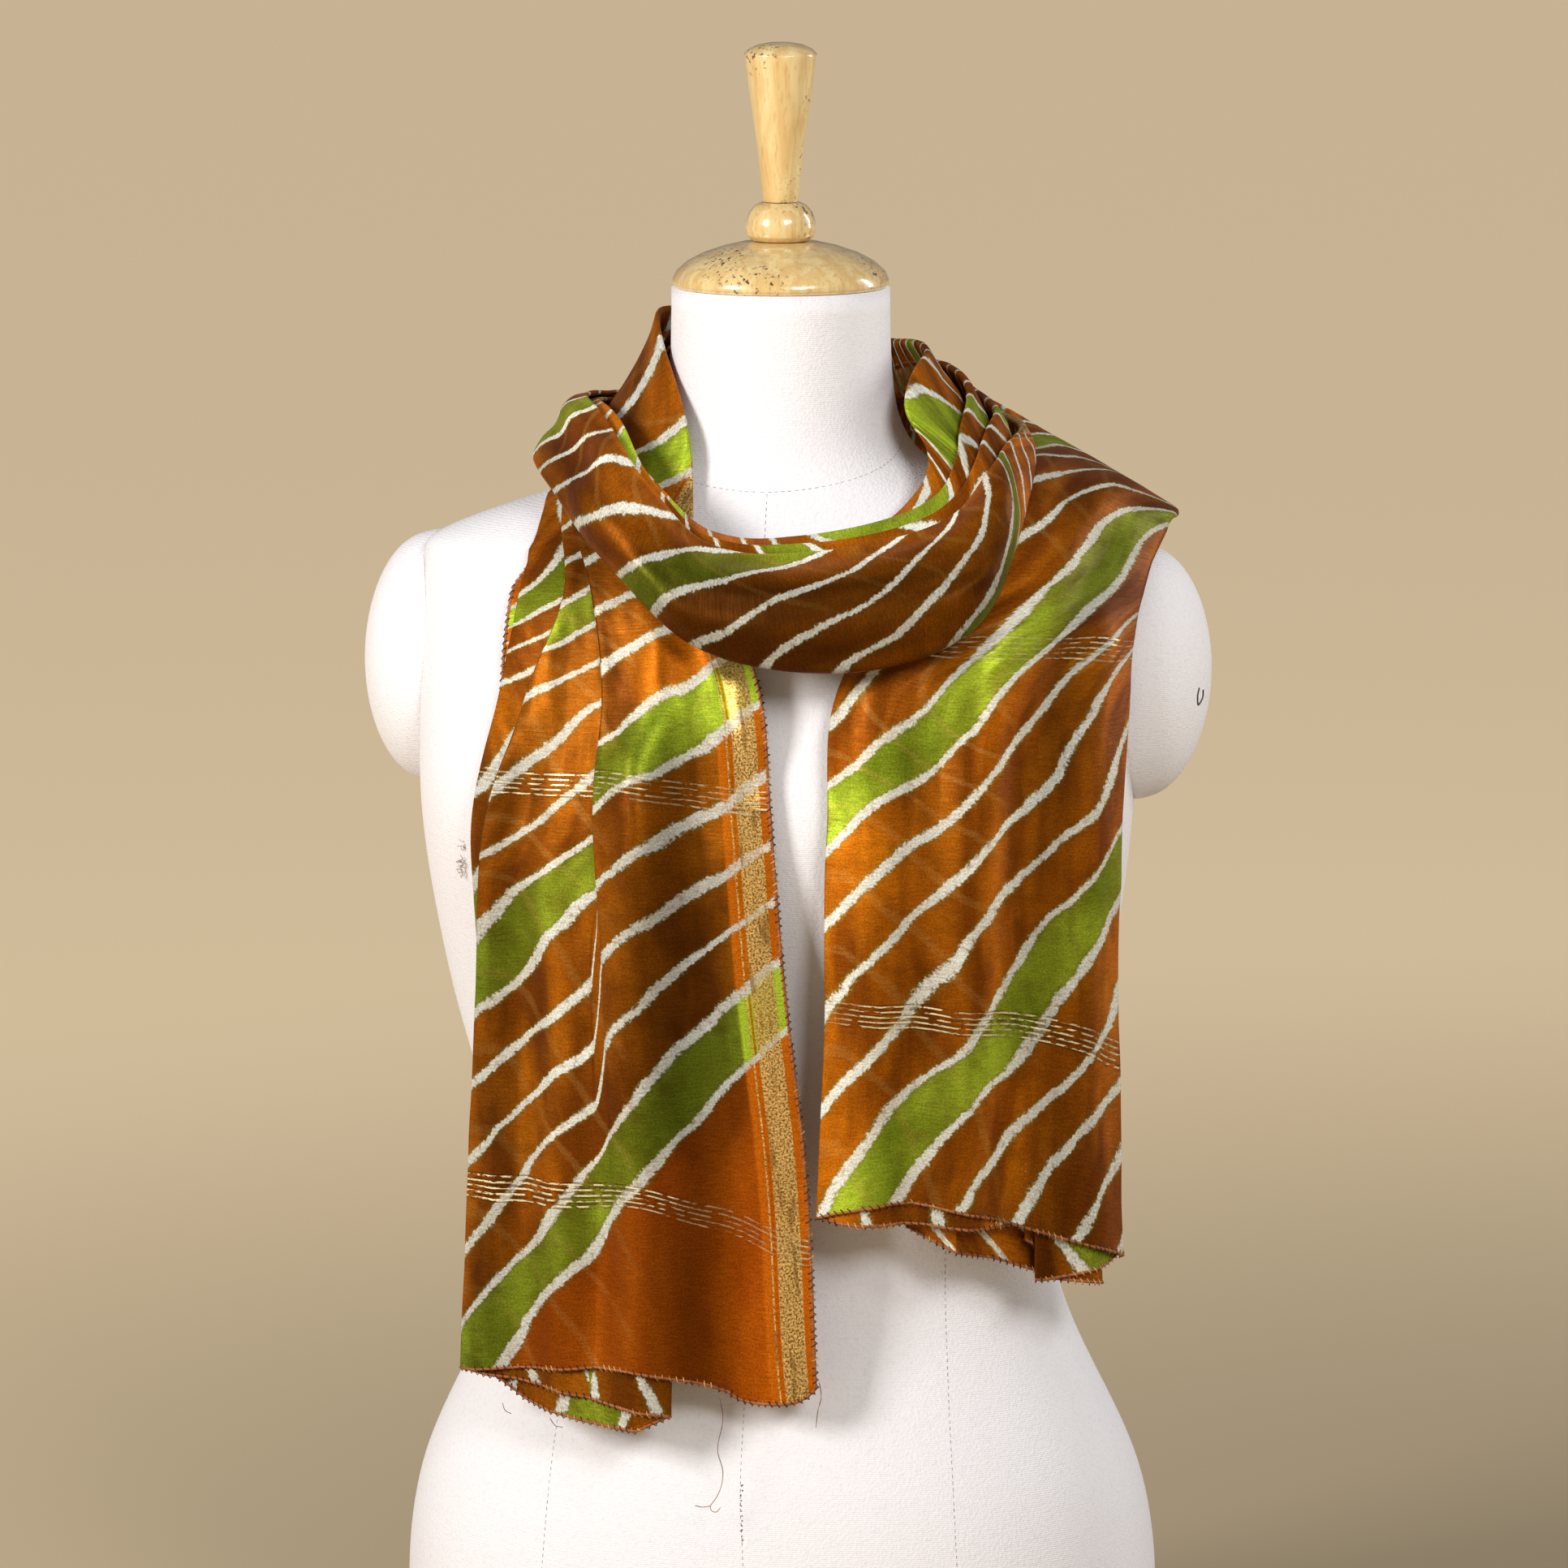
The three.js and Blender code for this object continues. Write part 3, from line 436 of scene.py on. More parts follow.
# ---- dyed pattern: where the bands fall along and across the cloth
# millimetres along the cloth: band number on the gold selvedge, bands per 100 mm over the two strips
# next to it, bands hidden in the tuck behind them, and bands per 100 mm over the rest
dyeRows = [
    (0, -5.2, 3.15, 0, 3.15), (99, -2.2, 2.85, .1, 3.1), (199, .8, 2.3, 1.1, 2.5),
    (274, 3.3, 1.95, .8, 2.4), (333, 5.15, 1.9, .5, 2.5), (392, 7.5, 1.9, .5, 3.4),
    (477, 10.65, 1.2, .2, 1.6), (641, 15.4, -1.5, 0, -1.5), (801, 20.1, -1.6, 0, -1.6),
    (875, 25.2, -2.0, 0, -2.0), (910, 27.7, -2.6, 0, -2.6), (944, 29.6, -3.8, 0, -3.0),
    (1019, 32.45, -5.15, 0, -3.0), (1080, 33.2, -4.6, 0, -3.0), (1126, 33.8, -3.4, 0, -3.0),
    (1186, 35.6, -3.2, 0, -3.0), (1244, 37.5, -3.0, 0, -2.6), (1416, 43.0, 0, 0, 0),
    (1612, 48.6, 3.5, 0, 3.5), (1683, 49.8, 3.7, 0, 3.7), (1743, 51.9, 2.6, 0, 2.6),
    (1802, 50.1, 3.3, 0, 3.3), (1872, 53.15, 2.55, 0, 2.55), (1972, 55.75, 2.5, 0, 2.5),
    (2015, 56.3, 2.85, 0, 2.85), (2058, 56.6, 3.1, 0, 3.1)]


tuck = dict(strip=5, fold=6)   # the strip that turns under, and the fold it turns at


def dyeBands(grid):
    # the band number at each point of the cloth
    rows = np.array(dyeRows, float)
    at = hermite(rows[:, 0], rows[:, 1:], slopesOf(rows[:, 0], rows[:, 1:]), grid["us"])
    first, nearRate, hidden, farRate = (column[:, None] for column in at.T)
    fromGold, cuts = grid["fromGold"], grid["cuts"]
    edge = max(j for j, cut in enumerate(cuts) if cut[:2] == ("fold", tuck["fold"]))
    tuckEdge = fromGold[:, edge][:, None]
    inTuck = np.array([1 - t if (kind, k) == ("strip", tuck["strip"]) else float(k <= tuck["strip"])
                       for kind, k, t in cuts])
    near = np.minimum(fromGold, tuckEdge) / 100
    far = np.maximum(fromGold - tuckEdge, 0) / 100
    return first + nearRate * near + hidden * inTuck + farRate * far


# where a folded layer lies close behind: its strip, and the first and last strip in front of it
overlaps = dict(first=(3, 3.5, 8), second=(7, 5.5, 6.6), fade=0.08)


def layerBehind(grid, bands):
    # band number on the layer folded behind, where there is one
    strips, across, us = grid["strip"], grid["across"], grid["us"]
    band, show = np.zeros_like(across), np.zeros_like(across)
    for i, u in enumerate(us):
        early = u < stationAt["a6"]
        layer, low, high = overlaps["first" if early else "second"]
        behind = np.flatnonzero(strips == layer)
        front = np.flatnonzero((strips >= low) & (strips < high))
        order = behind[np.argsort(across[i, behind])]
        here = across[i, front]
        band[i, front] = np.interp(here, across[i, order], bands[i, order])
        end = across[i, order[-1]] if early else across[i, order[0]]
        inside = end - here if early else here - end
        show[i, front] = np.clip(inside / overlaps["fade"], 0, 1)
    return band, show


def layersUnder(grid):
    # how many strips lie behind each point; where more of them lie behind, the sheer silk gets painted shade
    across, fold, soft = grid["across"], along("fold", grid["us"]), 0.1
    count = np.zeros_like(across)
    for k in range(fold.shape[1] - 1):
        low = np.minimum(fold[:, k], fold[:, k + 1])[:, None]
        high = np.maximum(fold[:, k], fold[:, k + 1])[:, None]
        count += np.clip((across - low) / soft, 0, 1) * np.clip((high - across) / soft, 0, 1)
    return count / (fold.shape[1] - 1)


# how far the weft leaves a straight line, and over what lengths, in mm
weftHang = dict(gold=26, goldReach=52, dip=8, dipAt=80, dipReach=18, fold=24, foldFrom=150, foldReach=105,
                foldLength=150, wander=2.2, wanderSizes=(55, 38))


def weftDrop(us, fromGold):
    # the weft hangs lower towards the gold selvedge of the first panel and the fold of the last one
    hang = weftHang
    early = np.clip(1 - us / stationAt["a4"], 0, 1)[:, None] ** 0.6
    late = np.clip((us - stationAt["b2"]) / hang["foldLength"], 0, 1)[:, None]
    drop = hang["gold"] * np.exp(-(fromGold / hang["goldReach"]) ** 1.5)
    drop = (drop - hang["dip"] * np.exp(-((fromGold - hang["dipAt"]) / hang["dipReach"]) ** 2)) * early
    drop -= hang["fold"] * np.clip((fromGold - hang["foldFrom"]) / hang["foldReach"], 0, 1) ** 1.6 * late
    length, width = hang["wanderSizes"]
    wander = softNoise(us[:, None] / length + 0 * fromGold, fromGold / width, 11)
    return us[:, None] + drop + hang["wander"] * wander


def linkPiece(name, mesh, material):
    mesh.materials.append(material)
    piece = bpy.data.objects.new(name, mesh)
    bpy.context.scene.collection.objects.link(piece)
    return piece


def meshFromArrays(name, points, faces, material):
    mesh = bpy.data.meshes.new(name)
    mesh.from_pydata(points.tolist(), [], faces)
    return linkPiece(name, mesh, material)


def activate(piece):
    bpy.ops.object.select_all(action="DESELECT")
    piece.select_set(True)
    bpy.context.view_layer.objects.active = piece


def applyModifier(piece, kind, **settings):
    activate(piece)
    modifier = piece.modifiers.new(kind.title(), kind)
    for key, value in settings.items():
        setattr(modifier, key, value)
    bpy.ops.object.modifier_apply(modifier=modifier.name)


def finishPiece(piece, replaced=None, angle=180):
    # shaded smooth up to an angle between faces
    activate(piece)
    if angle < 180:
        bpy.ops.object.shade_smooth_by_angle(angle=math.radians(angle))
    else:
        bpy.ops.object.shade_smooth()
    if replaced:
        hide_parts(replaced)
    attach(piece, "root")
    return piece


# ---- dyed silk satin: soft gloss, resist-dyed wavy lines and gold thread woven in, with painted shade and light
silkDye = dict(
    brown="#BE730C", brownRust="#AE5A0C", brownDark="#4A2205", rust="#BC5408", green="#A8C032",
    greenDeep="#6E8418", greenDark="#444608", olive="#7E7822", white="#E9EDE4", whiteWarm="#D2CAB4",
    behind="#C79A4C", gold="#E9BE72", goldDark="#7A5320", edge="#BE620E", zariLight="#EADCB0",
    zariShadow="#3C2208", gloss="#FFAE55")
# bands in a full turn of the pattern, and parts of a band: where the first one starts, the half width
# of a line, the reach of its fringe and how far it is feathered
bandPattern = dict(turn=5, start=-0.5, lineHalf=0.078, fringe=0.06, feather=0.08)
# distances from the selvedge in mm: middle and half width of each stripe, and where the border ends
border = dict(gold=(10.2, 5.8), goldLine=(18.7, 0.4), brownLine=(17.2, 0.6), end=(24.0, 22.5))
# groups of gold weft lines, at millimetres along the cloth; shadow is the strength of the painted shadow over
# each group
zari = dict(groups=(88.0, 289.0, 1783.0, 1960.0), lines=5, spacing=2.6, thread=0.85, shadow=0.62)
finish = dict(roughness=0.42, metalRoughness=0.3, silk=0.36, line=0.08, metal=0.15, threadPitch=0.9)
# noises over the flat cloth: scale per mm, detail, roughness
clothNoises = dict(
    drift=(1 / 42, 1, 0.5), ripple=(1 / 8.5, 2, 0.5), swell=(1 / 46, 2, 0.5), fleck=(1 / 3.2, 2, 0.5),
    feather=(0.7, 2, 0.5), cloud=(1 / 60, 4, 0.6), blotch=(1 / 14, 3, 0.5), speckle=(0.95, 2, 0.7),
    grain=(1.1, 1, 0.5), crinkle=(1 / 18, 2, 0.5))
# longer noises: scale across and along per mm, turn, detail, roughness. The lengthwise dark streaks
# are partly dye gathered where the cloth was bundled for tying and partly painted shade of hanging folds, and
# the slubs run with the weft
drawnNoises = dict(
    bundle=(1 / 26, 1 / 105, 0.1, 3, 0.5), dashes=(0.16, 0.55, 0, 2, 0.5),
    crumple=(1 / 5, 1 / 26, 0.7, 3, 0.5), streaks=(1 / 7, 1 / 0.8, 0, 3, 0.65),
    slubs=(1 / 26, 1 / 1.5, 0, 3, 0.5), hang=(1 / 30, 1 / 120, 0.12, 2, 0.5))
# what the noises are stretched to: noise, from low and high, to low and high
noiseLevels = dict(
    reach=("swell", 0.3, 0.7, bandPattern["lineHalf"] * 0.72, bandPattern["lineHalf"] * 1.25),
    brownShade=("blotch", 0.45, 0.75, 0, 0.35), gathered=("bundle", 0.38, 0.62, 0, 0.8),
    greenShade=("cloud", 0.42, 0.68, 0, 0.8), oliveShade=("blotch", 0.52, 0.78, 0, 0.6),
    stain=("fleck", 0.62, 0.72, 0, 0.4), broken=("dashes", 0.44, 0.50, 0, 1),
    glintPatches=("cloud", 0.4, 0.6, 0.22, 1), crumpleShade=("crumple", 0.58, 0.68, 0, 0.6),
    streaked=("streaks", 0.3, 0.7, 0.80, 1.16), grained=("grain", 0.3, 0.7, 0.78, 1.2),
    roughness=("slubs", 0, 1, finish["roughness"] - 0.06, finish["roughness"] + 0.10))


def dyedSilkMaterial():
    material, node, shader = newMaterial("dyedSilkSatin", finish["roughness"], 1.54, 0.22)
    dye = {name: linearColour(code) for name, code in silkDye.items()}
    shader.inputs["Alpha"].default_value = stole["alpha"]
    shader.inputs["Specular Tint"].default_value = dye["gloss"]   # silk's gloss takes the dye's warmth
    place = node("UVMap", uv_map="clothMap")
    flat = node("Mapping", {0: place, 3: (mapWidth, mapLength, 1)})   # millimetres
    names = ("dyeBand", "weft", "fromGold", "fromFar", "layerBand", "layerShow", "layers", "paintedShading")
    told = {name: node("Attribute", out="Fac", attribute_name=name) for name in names}
    noise = {}
    for name, (scale, detail, roughness) in clothNoises.items():
        inputs = {"Vector": flat, "Scale": scale, "Detail": detail, "Roughness": roughness}
        noise[name] = node("TexNoise", inputs, noise_dimensions="2D")
    for name, (across, onward, turn, detail, roughness) in drawnNoises.items():
        drawn = node("Mapping", {0: flat, 2: (0, 0, turn), 3: (across, onward, 1)})
        inputs = {"Vector": drawn, "Scale": 1.0, "Detail": detail, "Roughness": roughness}
        noise[name] = node("TexNoise", inputs, noise_dimensions="2D")
    level = {}
    for name, (source, *ends) in noiseLevels.items():
        level[name] = node("MapRange", [noise[source]] + ends)

    # bands wander as hand-tied cloth does
    wander = node("Math", [noise["drift"], 0.36, -0.21], operation="MULTIPLY_ADD")
    wander = node("Math", [noise["ripple"], 0.06, wander], operation="MULTIPLY_ADD")
    band = node("Math", [told["dyeBand"], wander], operation="ADD")
    started = node("Math", [band, bandPattern["start"]], operation="GREATER_THAN")
    turnOfBands = node("Math", [band, bandPattern["turn"]], operation="FLOORED_MODULO")
    # the layer behind shows faintly through the sheer silk: a little darker, its lines a little lighter
    behind = node("Math", [told["layerBand"], wander], operation="ADD")
    behind = node("Math", [behind, 0.5], operation="ADD")
    offMiddle = []
    for place in (band, behind):
        place = node("Math", [place], operation="FRACT")
        place = node("Math", [place, 0.5], operation="SUBTRACT")
        offMiddle.append(node("Math", [place], operation="ABSOLUTE"))
    fromLine = node("Math", [0.5, offMiddle[0]], operation="SUBTRACT")
    fromEdge = node("Math", [fromLine, level["reach"]], operation="SUBTRACT")
    for name, amount in (("feather", 0.10), ("fleck", 0.06)):
        fromEdge = node("Math", [noise[name], amount, fromEdge], operation="MULTIPLY_ADD")
    fromEdge = node("Math", [fromEdge, bandPattern["feather"]], operation="SUBTRACT")
    isGreen = node("Math", [turnOfBands, 1.0], operation="LESS_THAN")
    line = node("MapRange", [fromEdge, 0.026, -0.022], interpolation_type="SMOOTHSTEP")
    fringe = node("MapRange", [fromEdge, bandPattern["fringe"] + 0.02, 0.0],
                  interpolation_type="SMOOTHSTEP")
    isGreen, line, fringe = (node("Math", [mask, started], operation="MULTIPLY")
                             for mask in (isGreen, line, fringe))

    ghost = node("MapRange", [offMiddle[1], 0.10, 0.03], interpolation_type="SMOOTHSTEP")
    for share in (told["layerShow"], noise["cloud"], 0.22):
        ghost = node("Math", [ghost, share], operation="MULTIPLY")
    # painted shade: darker where more strips lie behind
    layeredShade = node("MapRange", [told["layers"], 0.1, 0.9, 0.0, 0.5])

    # cloudy dye; the end before the first band is plain and rustier
    plain = node("MapRange", [band, -0.05, 0.05, 0.7, 0.12])
    # lengthwise streaks, partly dye and partly painted shade of hanging folds, half as strong on the green
    gathered = node("Math", [level["gathered"], 0.5], operation="MULTIPLY")
    bleed = node("Math", [fringe, 0.55], operation="MULTIPLY")
    # result, what it is mixed from, how much, and what is laid over it
    coats = [
        ("ochre", "brown", noise["cloud"], "brownRust"), ("ochre", "ochre", level["brownShade"], "brownDark"),
        ("ochre", "ochre", level["gathered"], "brownDark"), ("ochre", "ochre", plain, "rust"),
        ("leaf", "green", level["greenShade"], "greenDeep"), ("leaf", "leaf", level["oliveShade"], "olive"),
        ("leaf", "leaf", gathered, "greenDark"), ("ground", "ochre", isGreen, "leaf"),
        ("ground", "ground", bleed, "olive"), ("resist", "white", noise["cloud"], "whiteWarm"),
        ("resist", "resist", level["stain"], "ochre"), ("ground", "ground", layeredShade, "brownDark"),
        ("ground", "ground", ghost, "behind")]
    for result, base, amount, over in coats:
        dye[result] = node("Mix", {0: amount, 6: dye[base], 7: dye[over]}, 2, data_type="RGBA")
    # painted shade and painted light from those rows scale the colour, the tied lines less; pale is the scale
    # where light is painted, deep where shade is painted
    for name, pale, deep in (("ground", 1.65, 0.28), ("resist", 1.2, 0.5)):
        depth = node("MapRange", [told["paintedShading"], -1.0, 1.0, pale, deep])
        dye[name] = node("VectorMath", {0: dye[name], 3: depth}, operation="SCALE")

    # gold border along both selvedges: orange, gold, a brown and a gold line, orange
    nearEdge = node("Math", [told["fromGold"], told["fromFar"]], operation="MINIMUM")
    goldBand, goldLine, brownLine = (
        node("Math", [nearEdge, border[name][0], border[name][1]], operation="COMPARE")
        for name in ("gold", "goldLine", "brownLine"))
    goldMask = node("Math", [goldBand, goldLine], operation="MAXIMUM")
    inBorder = node("MapRange", [nearEdge, border["end"][0], border["end"][1]])
    part = node("MapRange", [line, 0.0, 1.0, 0.75, 0.12])
    part = node("Math", [inBorder, part], operation="MULTIPLY")

    # broken gold weft lines, brighter in patches as painted glint
    weftMask = groupMask = 0.0
    for middle in zari["groups"]:
        off = node("Math", [told["weft"], middle], operation="SUBTRACT")
        size = node("Math", [off], operation="ABSOLUTE")
        group = node("Math", [size, zari["lines"] * zari["spacing"] / 2], operation="LESS_THAN")
        phase = node("Math", [off, zari["spacing"]], operation="DIVIDE")
        phase = node("Math", [phase, 0.5], operation="ADD")
        phase = node("Math", [phase], operation="FRACT")
        phase = node("Math", [phase, 0.5, zari["thread"] / zari["spacing"] / 2], operation="COMPARE")
        lines = node("Math", [group, phase], operation="MULTIPLY")
        weftMask, groupMask = (node("Math", [mask, more], operation="MAXIMUM")
                               for mask, more in ((weftMask, lines), (groupMask, group)))
    shown = node("Math", [level["broken"], level["glintPatches"]], operation="MULTIPLY")
    weftMask, groupMask = (node("Math", [mask, shown], operation="MULTIPLY")
                           for mask in (weftMask, groupMask))
    metal = node("Math", [goldMask, weftMask], operation="MAXIMUM")
    dye["glitter"] = node("ValToRGB", [noise["speckle"]])
    ramp = dye["glitter"].node.color_ramp
    for element, position, name in zip(ramp.elements, (0.36, 0.58), ("goldDark", "gold")):
        element.position = position
        element.color = dye[name]
    # the gold takes on the dye too, though less; its crumples get painted shade, and each group of gold weft
    # lines a painted shadow between its threads
    whiteOnGold, greenOnGold, shadow = (
        node("Math", [mask, amount], operation="MULTIPLY")
        for mask, amount in ((line, 0.6), (isGreen, 0.22), (groupMask, zari["shadow"])))
    coats = [
        ("cloth", "ground", line, "resist"), ("selvedge", "edge", isGreen, "green"),
        ("selvedge", "selvedge", brownLine, "ochre"), ("cloth", "cloth", part, "selvedge"),
        ("foil", "glitter", whiteOnGold, "resist"), ("foil", "foil", greenOnGold, "leaf"),
        ("foil", "foil", level["crumpleShade"], "goldDark"), ("cloth", "cloth", goldMask, "foil"),
        ("cloth", "cloth", shadow, "zariShadow"), ("cloth", "cloth", weftMask, "zariLight")]
    for result, base, amount, over in coats:
        dye[result] = node("Mix", {0: amount, 6: dye[base], 7: dye[over]}, 2, data_type="RGBA")
    cloth = dye["cloth"]
    for name in ("streaked", "grained"):
        cloth = node("VectorMath", {0: cloth, 3: level[name]}, operation="SCALE")
    metallic = node("MapRange", [line, 0.0, 1.0, finish["silk"], finish["line"]])
    metallic = node("Math", [metal, finish["metal"], metallic], operation="MULTIPLY_ADD")
    gloss = node("Mix", {0: metal, 2: level["roughness"], 3: finish["metalRoughness"]})

    # weave: threads 0.45 mm apart drawn at twice that so that they show, with thicker weft slubs
    waves = {"Vector": flat, "Scale": 2 * math.pi / 20 / finish["threadPitch"], "Distortion": 0.6}
    warp, weft = (node("TexWave", waves, "Fac", bands_direction=way) for way in ("X", "Y"))
    height = node("Math", [warp, weft], operation="ADD")
    height = node("Math", [height, 0.05, noise["slubs"]], operation="MULTIPLY_ADD")
    height = node("Math", [metal, 0.35, height], operation="MULTIPLY_ADD")
    normal = node("Bump", {"Height": height, "Strength": 0.35, "Distance": 0.25 * mm})
    for name, strength, depth in (("crinkle", 0.4, 1.4), ("hang", 1.0, 3)):
        normal = node("Bump", {"Height": noise[name], "Strength": strength, "Distance": depth * mm,
                               "Normal": normal})
    drive(shader, {"Base Color": cloth, "Metallic": metallic, "Roughness": gloss, "Normal": normal})
    return material


def buildStole():
    grid["points"] = grid["points"] + grid["outward"] * spreadOver(grid, creases)[..., None]
    points, us, fromGold = grid["points"], grid["us"], grid["fromGold"]
    rows, count = fromGold.shape
    side = (grid["across"] + 2) * grid["half"][:, None]
    # small crumples, then long shallow ones
    wrinkle = 0.45 * softNoise(us[:, None] / 17 + side / 40, side / 11, 3)
    wrinkle += 0.9 * softNoise(us[:, None] / 75, side / 21 + us[:, None] / 120, 5)
    grid["points"] = points = points + grid["outward"] * wrinkle[..., None]
    faces = []
    for i in range(rows - 1):
        for a in range(i * count, (i + 1) * count - 1):
            faces.append((a, a + 1, a + count + 1, a + count))
    piece = meshFromArrays("stole_cloth", toForm(points).reshape(-1, 3) * mm, faces, dyedSilkMaterial())
    mesh = piece.data
    bands = dyeBands(grid)
    layerBand, layerShow = layerBehind(grid, bands)
    # painted shade and light from its rows goes onto the cloth as an attribute, with the others
    told = dict(dyeBand=bands, layerBand=layerBand, layerShow=layerShow, layers=layersUnder(grid),
                paintedShading=spreadOver(grid, paintedShadingRows), weft=weftDrop(us, fromGold), fromGold=fromGold,
                fromFar=fromGold[:, :1] - fromGold)
    for name, values in told.items():
        attribute = mesh.attributes.new(name, "FLOAT", "POINT")
        attribute.data.foreach_set("value", values.astype(np.float32).ravel())
    uv = mesh.uv_layers.new(name="clothMap")
    onward = np.broadcast_to(us[:, None] / mapLength, fromGold.shape)
    at = np.stack([fromGold / mapWidth, onward], -1).reshape(-1, 2)
    loops = np.zeros(len(mesh.loops), int)
    mesh.loops.foreach_get("vertex_index", loops)
    uv.data.foreach_set("uv", at[loops].astype(np.float32).ravel())
    applyModifier(piece, "SOLIDIFY", thickness=stole["thickness"] * mm, offset=0.0)
    return finishPiece(piece, "stole", 60)


stoleCloth = buildStole()
print("stole:", len(stoleCloth.data.polygons), "faces")


# ---- tubes along a path, for rolled hems, sewing thread and loose ends
def tubeMesh(paths, radii, sides):
    points, faces = [], []
    for path, radius in zip(paths, radii):
        path = np.asarray(path, float)
        radius = np.broadcast_to(radius, (len(path),))
        ahead = np.gradient(path, axis=0)
        ahead /= np.maximum(np.linalg.norm(ahead, axis=1, keepdims=True), 1e-9)
        side = np.cross(ahead[0], [0.3, 0.2, 0.93])
        first = len(points)
        for i, (p, d) in enumerate(zip(path, ahead)):
            side = side - d * np.dot(side, d)
            side /= max(np.linalg.norm(side), 1e-9)
            up = np.cross(d, side)
            for k in range(sides):
                a = 2 * math.pi * k / sides
                points.append(p + radius[i] * (side * math.cos(a) + up * math.sin(a)))
        for i in range(len(path) - 1):
            for k in range(sides):
                a, b = first + i * sides + k, first + i * sides + (k + 1) % sides
                faces.append((a, b, b + sides, a + sides))
        last = first + (len(path) - 1) * sides
        faces.append(tuple(first + k for k in reversed(range(sides))))
        faces.append(tuple(last + k for k in range(sides)))
    return np.array(points), faces


def resample(path, step):
    path = np.asarray(path, float)
    at = np.concatenate([[0], np.cumsum(np.linalg.norm(np.diff(path, axis=0), axis=1))])
    count = max(int(at[-1] / step), 2)
    want = np.linspace(0, at[-1], count)
    return np.stack([np.interp(want, at, path[:, k]) for k in range(3)], -1), want


# ---- rolled hems, oversewn by machine with a zigzag of thread
hem = dict(radius=0.8, step=1.6, stitch=3.6, reach=1.6, thread=0.34, bulge=0.16, bulgeLength=4.1,
           brown="#B4600E", brownDark="#6E3208", thread1="#C4A06C", thread2="#24140A")


def rolledHemMaterial():
    material, node, shader = newMaterial("rolledHemSilk", 0.6, 1.54)
    place = node("TexCoord", out="Object")
    mottle = node("TexNoise", {"Vector": place, "Scale": 260.0, "Detail": 2.0})
    colour = node("Mix", {0: mottle, 6: linearColour(hem["brown"]), 7: linearColour(hem["brownDark"])}, 2,
                  data_type="RGBA")
    bump = node("Bump", {"Height": mottle, "Strength": 0.5, "Distance": 0.4 * mm})
    drive(shader, {"Base Color": colour, "Normal": bump})
    return material


def plainThread(name, colour, patchColour, roughness=0.6, patches=(140.0, 0.45, 0.6)):
    # patches: their scale, and the noise over which one colour turns into the other
    material, node, shader = newMaterial(name, roughness, 1.53)
    scale, low, high = patches
    place = node("TexCoord", out="Object")
    patch = node("TexNoise", {"Vector": place, "Scale": scale, "Detail": 2.0})
    patch = node("MapRange", [patch, low, high])
    mixed = node("Mix", {0: patch, 6: linearColour(colour), 7: linearColour(patchColour)}, 2,
                 data_type="RGBA")
    drive(shader, {"Base Color": mixed})
    return material


def clothEdges():
    points, outward = grid["points"], grid["outward"]
    return dict(hemFirst=(points[0], outward[0]), hemLast=(points[-1], outward[-1]),
                goldEdge=(points[:, -1], outward[:, -1]), farEdge=(points[:, 0], outward[:, 0]))


rollMaterial = rolledHemMaterial()
threadMaterial = plainThread("polyesterSewingThread", hem["thread1"], hem["thread2"], 0.45, (90.0, 0.36, 0.5))
rollPaths, rollRadii, zigzags = [], [], []
for name, (path, outward) in clothEdges().items():
    line, at = resample(path, hem["step"])
    rollPaths.append(line)
    uneven = 1 + hem["bulge"] * np.sin(at * 2 * math.pi / hem["bulgeLength"])
    uneven += 0.1 * softNoise(at / 9, at * 0, 21)
    rollRadii.append(hem["radius"] * uneven)
    share, known = np.linspace(0, 1, len(at)), np.linspace(0, 1, len(outward))
    normal = np.stack([np.interp(share, known, outward[:, k]) for k in range(3)], -1)
    sideways = np.cross(np.gradient(line, axis=0), normal)
    sideways /= np.maximum(np.linalg.norm(sideways, axis=1, keepdims=True), 1e-9)
    normal /= np.linalg.norm(normal, axis=1, keepdims=True)
    turns = np.arange(0, at[-1], hem["stitch"] / 4)
    where, out, over = (np.stack([np.interp(turns, at, rows[:, k]) for k in range(3)], -1)
                        for rows in (line, normal, sideways))
    swing = (turns * 2 * math.pi / hem["stitch"])[:, None]
    reach = hem["radius"] + hem["thread"] * 0.6
    zigzags.append(where + out * (reach * np.cos(swing)) + over * (reach * hem["reach"] * np.sin(swing)))
points, faces = tubeMesh(rollPaths, rollRadii, 6)
hemRoll = meshFromArrays("hem_roll", toForm(points) * mm, faces, rollMaterial)
points, faces = tubeMesh(zigzags, [hem["thread"]] * len(zigzags), 4)
hemThread = meshFromArrays("hem_thread", toForm(points) * mm, faces, threadMaterial)
for piece in (hemRoll, hemThread):
    finishPiece(piece)
print("hems:", len(hemRoll.data.polygons), len(hemThread.data.polygons))


# ---- dress form: sewn cotton cover over a padded body
formCover = dict(white="#EAEAEE", shade="#D4D0D2", warm="#EDE7E8", roughness=0.82, threadPitch=1.0,
                 narrow=0.984)


